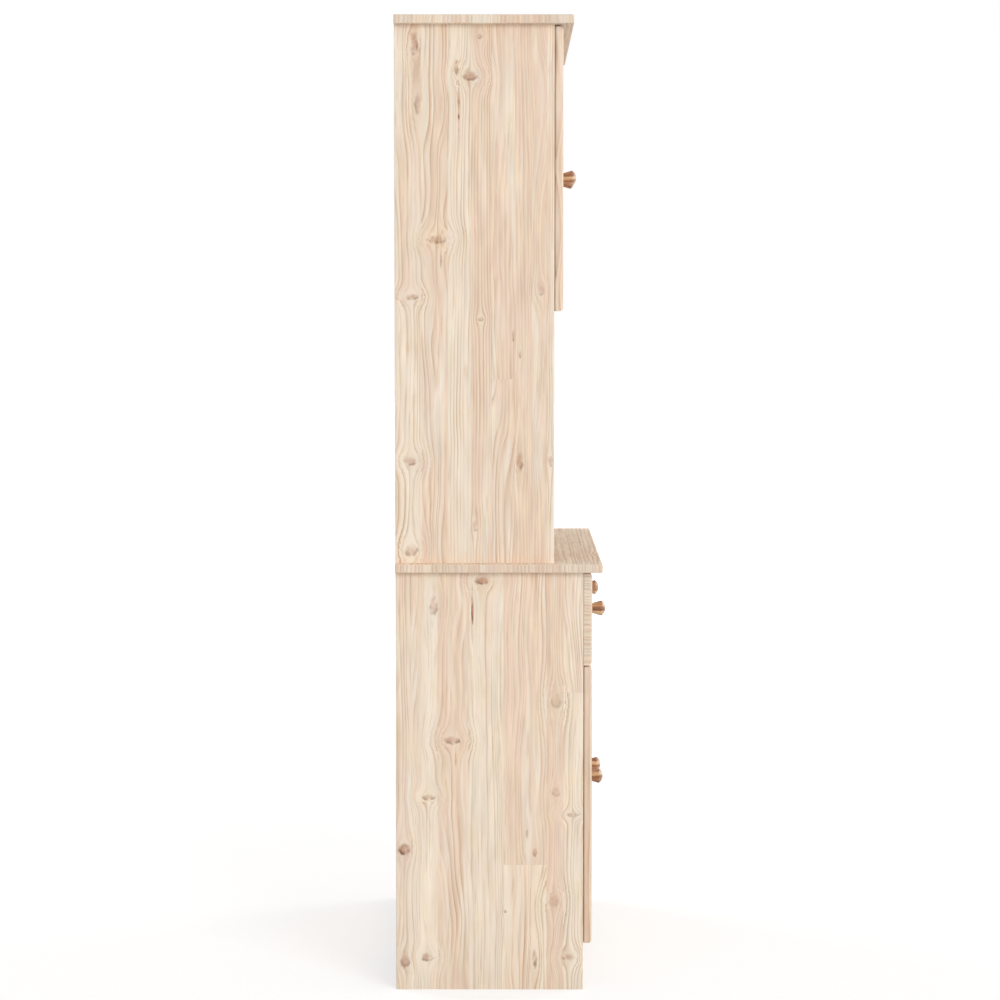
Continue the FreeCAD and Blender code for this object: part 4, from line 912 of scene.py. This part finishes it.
def place_heads(name, body, spots, sizes, finish_material):
    """Fastener heads as one plain mesh that moves with its body. A spot is a place and the way it faces."""
    places = bpy.data.meshes.new(f"{name}_places")
    places.from_pydata([place for place, _ in spots], [], [])
    facing = places.attributes.new("facing", "FLOAT_VECTOR", "POINT")
    for entry, (_, direction) in zip(facing.data, spots):
        entry.vector = direction
    piece = bpy.data.objects.new(name, places)
    scene.collection.objects.link(piece)
    modifier = piece.modifiers.new("heads", "NODES")
    modifier.node_group = HEAD_TREE
    for label, value in {**sizes, "Seed": HEAD_SEED, "Finish": finish_material}.items():
        modifier[HEAD_PORTS[label]] = value
    evaluated = piece.evaluated_get(bpy.context.evaluated_depsgraph_get())
    made = bpy.data.meshes.new_from_object(evaluated)
    piece.modifiers.remove(modifier)
    piece.data = made
    bpy.data.meshes.remove(places)
    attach(piece, body)


HANDS = {"left": -1, "right": 1}
LEFTWARD = (-1.0, 0.0, 0.0)
RIGHTWARD = (1.0, 0.0, 0.0)
REARWARD = (0.0, 1.0, 0.0)
DOWNWARD = (0.0, 0.0, -1.0)

# Hinge screws, from the side's inner face, from the hinge's middle and from the side's front edge
PLATE_THICKNESS = 0.002
ARM_STAND_OFF = 0.0095
CUP_SCREW_STAND_OFF = 0.015
FLANGE_REACH = 0.031
PLATE_SCREW_RISE = 0.016
CUP_SCREW_RISE = 0.024
PLATE_SCREW_DEPTH = 0.037
ARM_SCREW_DEPTHS = (0.024, 0.047)


def make_hinge_screws():
    """Two screws in each hinge plate, each arm and each cup's flange."""
    plate_spots = []
    arm_spots = []
    for level, side in {"upper": UPPER_SIDE, "lower": LOWER_SIDE}.items():
        front = side[0].y
        for hand, sign in HANDS.items():
            door = f"{level}_{hand}_door"
            low, high = extent(f"{door}_hinge_cups")
            plate_x = sign * (SIDE_FACE - PLATE_THICKNESS)
            arm_x = sign * (SIDE_FACE - ARM_STAND_OFF)
            cup_x = sign * (SIDE_FACE - CUP_SCREW_STAND_OFF)
            inward = (-sign, 0.0, 0.0)
            cup_spots = []
            for height in (low.z + FLANGE_REACH, high.z - FLANGE_REACH):
                for rise in (-PLATE_SCREW_RISE, PLATE_SCREW_RISE):
                    plate_spots.append(((plate_x, front + PLATE_SCREW_DEPTH, height + rise), inward))
                for depth in ARM_SCREW_DEPTHS:
                    arm_spots.append(((arm_x, front + depth, height), inward))
                for rise in (-CUP_SCREW_RISE, CUP_SCREW_RISE):
                    cup_spots.append(((cup_x, high.y, height + rise), REARWARD))
            place_heads(f"{door}_cup_screws", door, cup_spots, FLANGE_SCREW, fitting_steel)
    place_heads("hinge_plate_screws", "carcass", plate_spots, PAN_SCREW, fitting_steel)
    place_heads("hinge_arm_screws", "carcass", arm_spots, ARM_SCREW, hinge_nickel)


RUNNER_THICKNESS = 0.0085
RUNNER_SCREW_DEPTHS = (0.04, 0.14, 0.24)


def make_runner_screws():
    """Flush screws through the runners into the sides and the drawer divider."""
    height = middle("drawer_runners").z
    outer_face = SIDE_FACE - RUNNER_THICKNESS
    inner_face = extent("drawer_divider")[1].x + RUNNER_THICKNESS
    spots = []
    for sign in HANDS.values():
        for depth in RUNNER_SCREW_DEPTHS:
            place_y = LOWER_SIDE[0].y + depth
            spots.append(((sign * outer_face, place_y, height), (-sign, 0.0, 0.0)))
            spots.append(((sign * inner_face, place_y, height), (sign, 0.0, 0.0)))
    place_heads("runner_screws", "carcass", spots, FLUSH_SCREW, fitting_steel)


def spread(start, end, count):
    """Places at even steps from a start to an end."""
    return [start + (end - start) * step / (count - 1) for step in range(count)]


PIN_INSET = 0.0037
PIN_END = 0.02
BOARD_PINS = 7
BOARD_PIN_REACH = 0.27
DIVIDER_PIN_RISE = 0.035
BACK_PINS = {"lower_back_panel": 8, "upper_back_panel": 11}
BACKED_BOARDS = ("bottom_board", "drawer_board", "cupboard_floor")


def make_back_pins():
    """Pins through the back panels into the sides, the boards and the drawer divider."""
    spots = []
    for panel, count in BACK_PINS.items():
        low, high = extent(panel)
        for place_x in (low.x + PIN_INSET, high.x - PIN_INSET):
            spots += [(place_x, height) for height in spread(low.z + PIN_END, high.z - PIN_END, count)]
    for board in BACKED_BOARDS:
        height = middle(board).z
        spots += [(place_x, height) for place_x in spread(-BOARD_PIN_REACH, BOARD_PIN_REACH, BOARD_PINS)]
    divider = middle("drawer_divider")
    spots += [(divider.x, divider.z + rise) for rise in (-DIVIDER_PIN_RISE, DIVIDER_PIN_RISE)]
    face = extent("upper_back_panel")[1].y
    places = [((place_x, face, height), REARWARD) for place_x, height in spots]
    place_heads("back_panel_pins", "carcass", places, PIN_HEAD, fitting_steel)


DRAWER_PIN_RISE = 0.0325
BOTTOM_PIN_INSET = 0.031
BOTTOM_PINS = 5


def make_drawer_pins():
    """Pins through the drawer's sides into its back, and up through its bottom."""
    for hand in HANDS:
        drawer = f"{hand}_drawer"
        back = middle(f"{drawer}_back")
        left_face = extent(f"{drawer}_left_side")[0].x
        right_face = extent(f"{drawer}_right_side")[1].x
        low, high = extent(f"{drawer}_bottom")
        spots = []
        for rise in (-DRAWER_PIN_RISE, DRAWER_PIN_RISE):
            spots.append(((left_face, back.y, back.z + rise), LEFTWARD))
            spots.append(((right_face, back.y, back.z + rise), RIGHTWARD))
        for place_x in spread(low.x + BOTTOM_PIN_INSET, high.x - BOTTOM_PIN_INSET, BOTTOM_PINS):
            spots.append(((place_x, back.y, low.z), DOWNWARD))
        place_heads(f"{drawer}_pins", drawer, spots, PIN_HEAD, fitting_steel)


make_hinge_screws()
make_runner_screws()
make_back_pins()
make_drawer_pins()


# Floor, light and camera

WHITE = (1.0, 1.0, 1.0, 1.0)
FLOOR_REACH = 30.0
FLOOR_PALE = shade(200, 200, 200)
FLOOR_DARK = shade(196, 196, 196)
FLOOR_GLOW_NEAR = 0.5
FLOOR_GLOW_FAR = 1.0
GLOW_CHANGE = (1.2, 6.0)
ROOM_LIGHT = 0.62


def seen_directly(net):
    """One where the camera sees a surface straight, in a reflection or through glass."""
    path = net.node("ShaderNodeLightPath").outputs
    seen = net.math("MAXIMUM", path["Is Camera Ray"], path["Is Glossy Ray"])
    return net.math("MAXIMUM", seen, path["Is Transmission Ray"])


def make_floor():
    """A wide pale floor that shows white and keeps the shadow."""
    mesh = bpy.data.meshes.new("floor")
    signs = ((-1, -1), (1, -1), (1, 1), (-1, 1))
    corners = [(x * FLOOR_REACH, y * FLOOR_REACH, 0.0) for x, y in signs]
    mesh.from_pydata(corners, [], [(0, 1, 2, 3)])
    floor = bpy.data.objects.new("floor", mesh)
    scene.collection.objects.link(floor)
    material = bpy.data.materials.new("floor_paint")
    net = cleared(material)
    place = net.node("ShaderNodeTexCoord").outputs["Object"]
    speckle = net.noise(place, (40.0, 40.0, 40.0), 2.0)
    paint = net.mix(speckle, FLOOR_DARK, FLOOR_PALE)
    matt = net.node("ShaderNodeBsdfDiffuse", {"Color": paint}).outputs[0]
    away = net.node("ShaderNodeVectorMath", {0: place}, operation="LENGTH").outputs["Value"]
    glow = net.ease(away, *GLOW_CHANGE, FLOOR_GLOW_NEAR, FLOOR_GLOW_FAR)
    strength = net.product(seen_directly(net), glow)
    lift = net.node("ShaderNodeEmission", {"Color": WHITE, "Strength": strength}).outputs[0]
    both = net.node("ShaderNodeAddShader", {0: matt, 1: lift}).outputs[0]
    net.node("ShaderNodeOutputMaterial", {"Surface": both})
    mesh.materials.append(material)


def make_world():
    """Even soft light, with a white ground behind the piece."""
    world = bpy.data.worlds.new("studio")
    net = cleared(world)
    strength = net.total(ROOM_LIGHT, net.product(seen_directly(net), 1.0 - ROOM_LIGHT))
    ground = net.node("ShaderNodeBackground", {"Color": WHITE, "Strength": strength})
    net.node("ShaderNodeOutputWorld", {"Surface": ground.outputs[0]})
    scene.world = world


LAMP_SIZE = 3.2
LAMP_AIM = (0.0, 0.0, 0.8)


def aim_at(thing, place, target):
    """Put a lamp or a camera in its place, turned to its target."""
    thing.location = place
    thing.rotation_euler = (Vector(target) - Vector(place)).to_track_quat("-Z", "Y").to_euler()


def soft_lamp(name, place, power):
    """A wide square lamp, turned to the middle of the piece."""
    data = bpy.data.lights.new(name, "AREA")
    data.shape = "SQUARE"
    data.size = LAMP_SIZE
    data.energy = power
    lamp = bpy.data.objects.new(name, data)
    scene.collection.objects.link(lamp)
    aim_at(lamp, place, LAMP_AIM)


make_floor()
make_world()
soft_lamp("near_side_lamp", (-6.6, -3.6, 2.5), power=262.0)
soft_lamp("front_lamp", (3.2, -6.2, 2.6), power=160.0)
soft_lamp("rear_lamp", (3.6, 5.6, 2.8), power=180.0)

CAMERA_PLACE = (-4.925, -0.0121, 1.151)
CAMERA_AIM = (0.0, 0.0051, 0.8115)
LENS_MM = 97.69
SENSOR_MM = 36.0
FAR_CLIP = 100.0
camera_data = bpy.data.cameras.new("camera")
camera_data.lens = LENS_MM
camera_data.sensor_width = SENSOR_MM
camera_data.clip_end = FAR_CLIP
camera = bpy.data.objects.new("camera", camera_data)
scene.collection.objects.link(camera)
aim_at(camera, CAMERA_PLACE, CAMERA_AIM)
scene.camera = camera
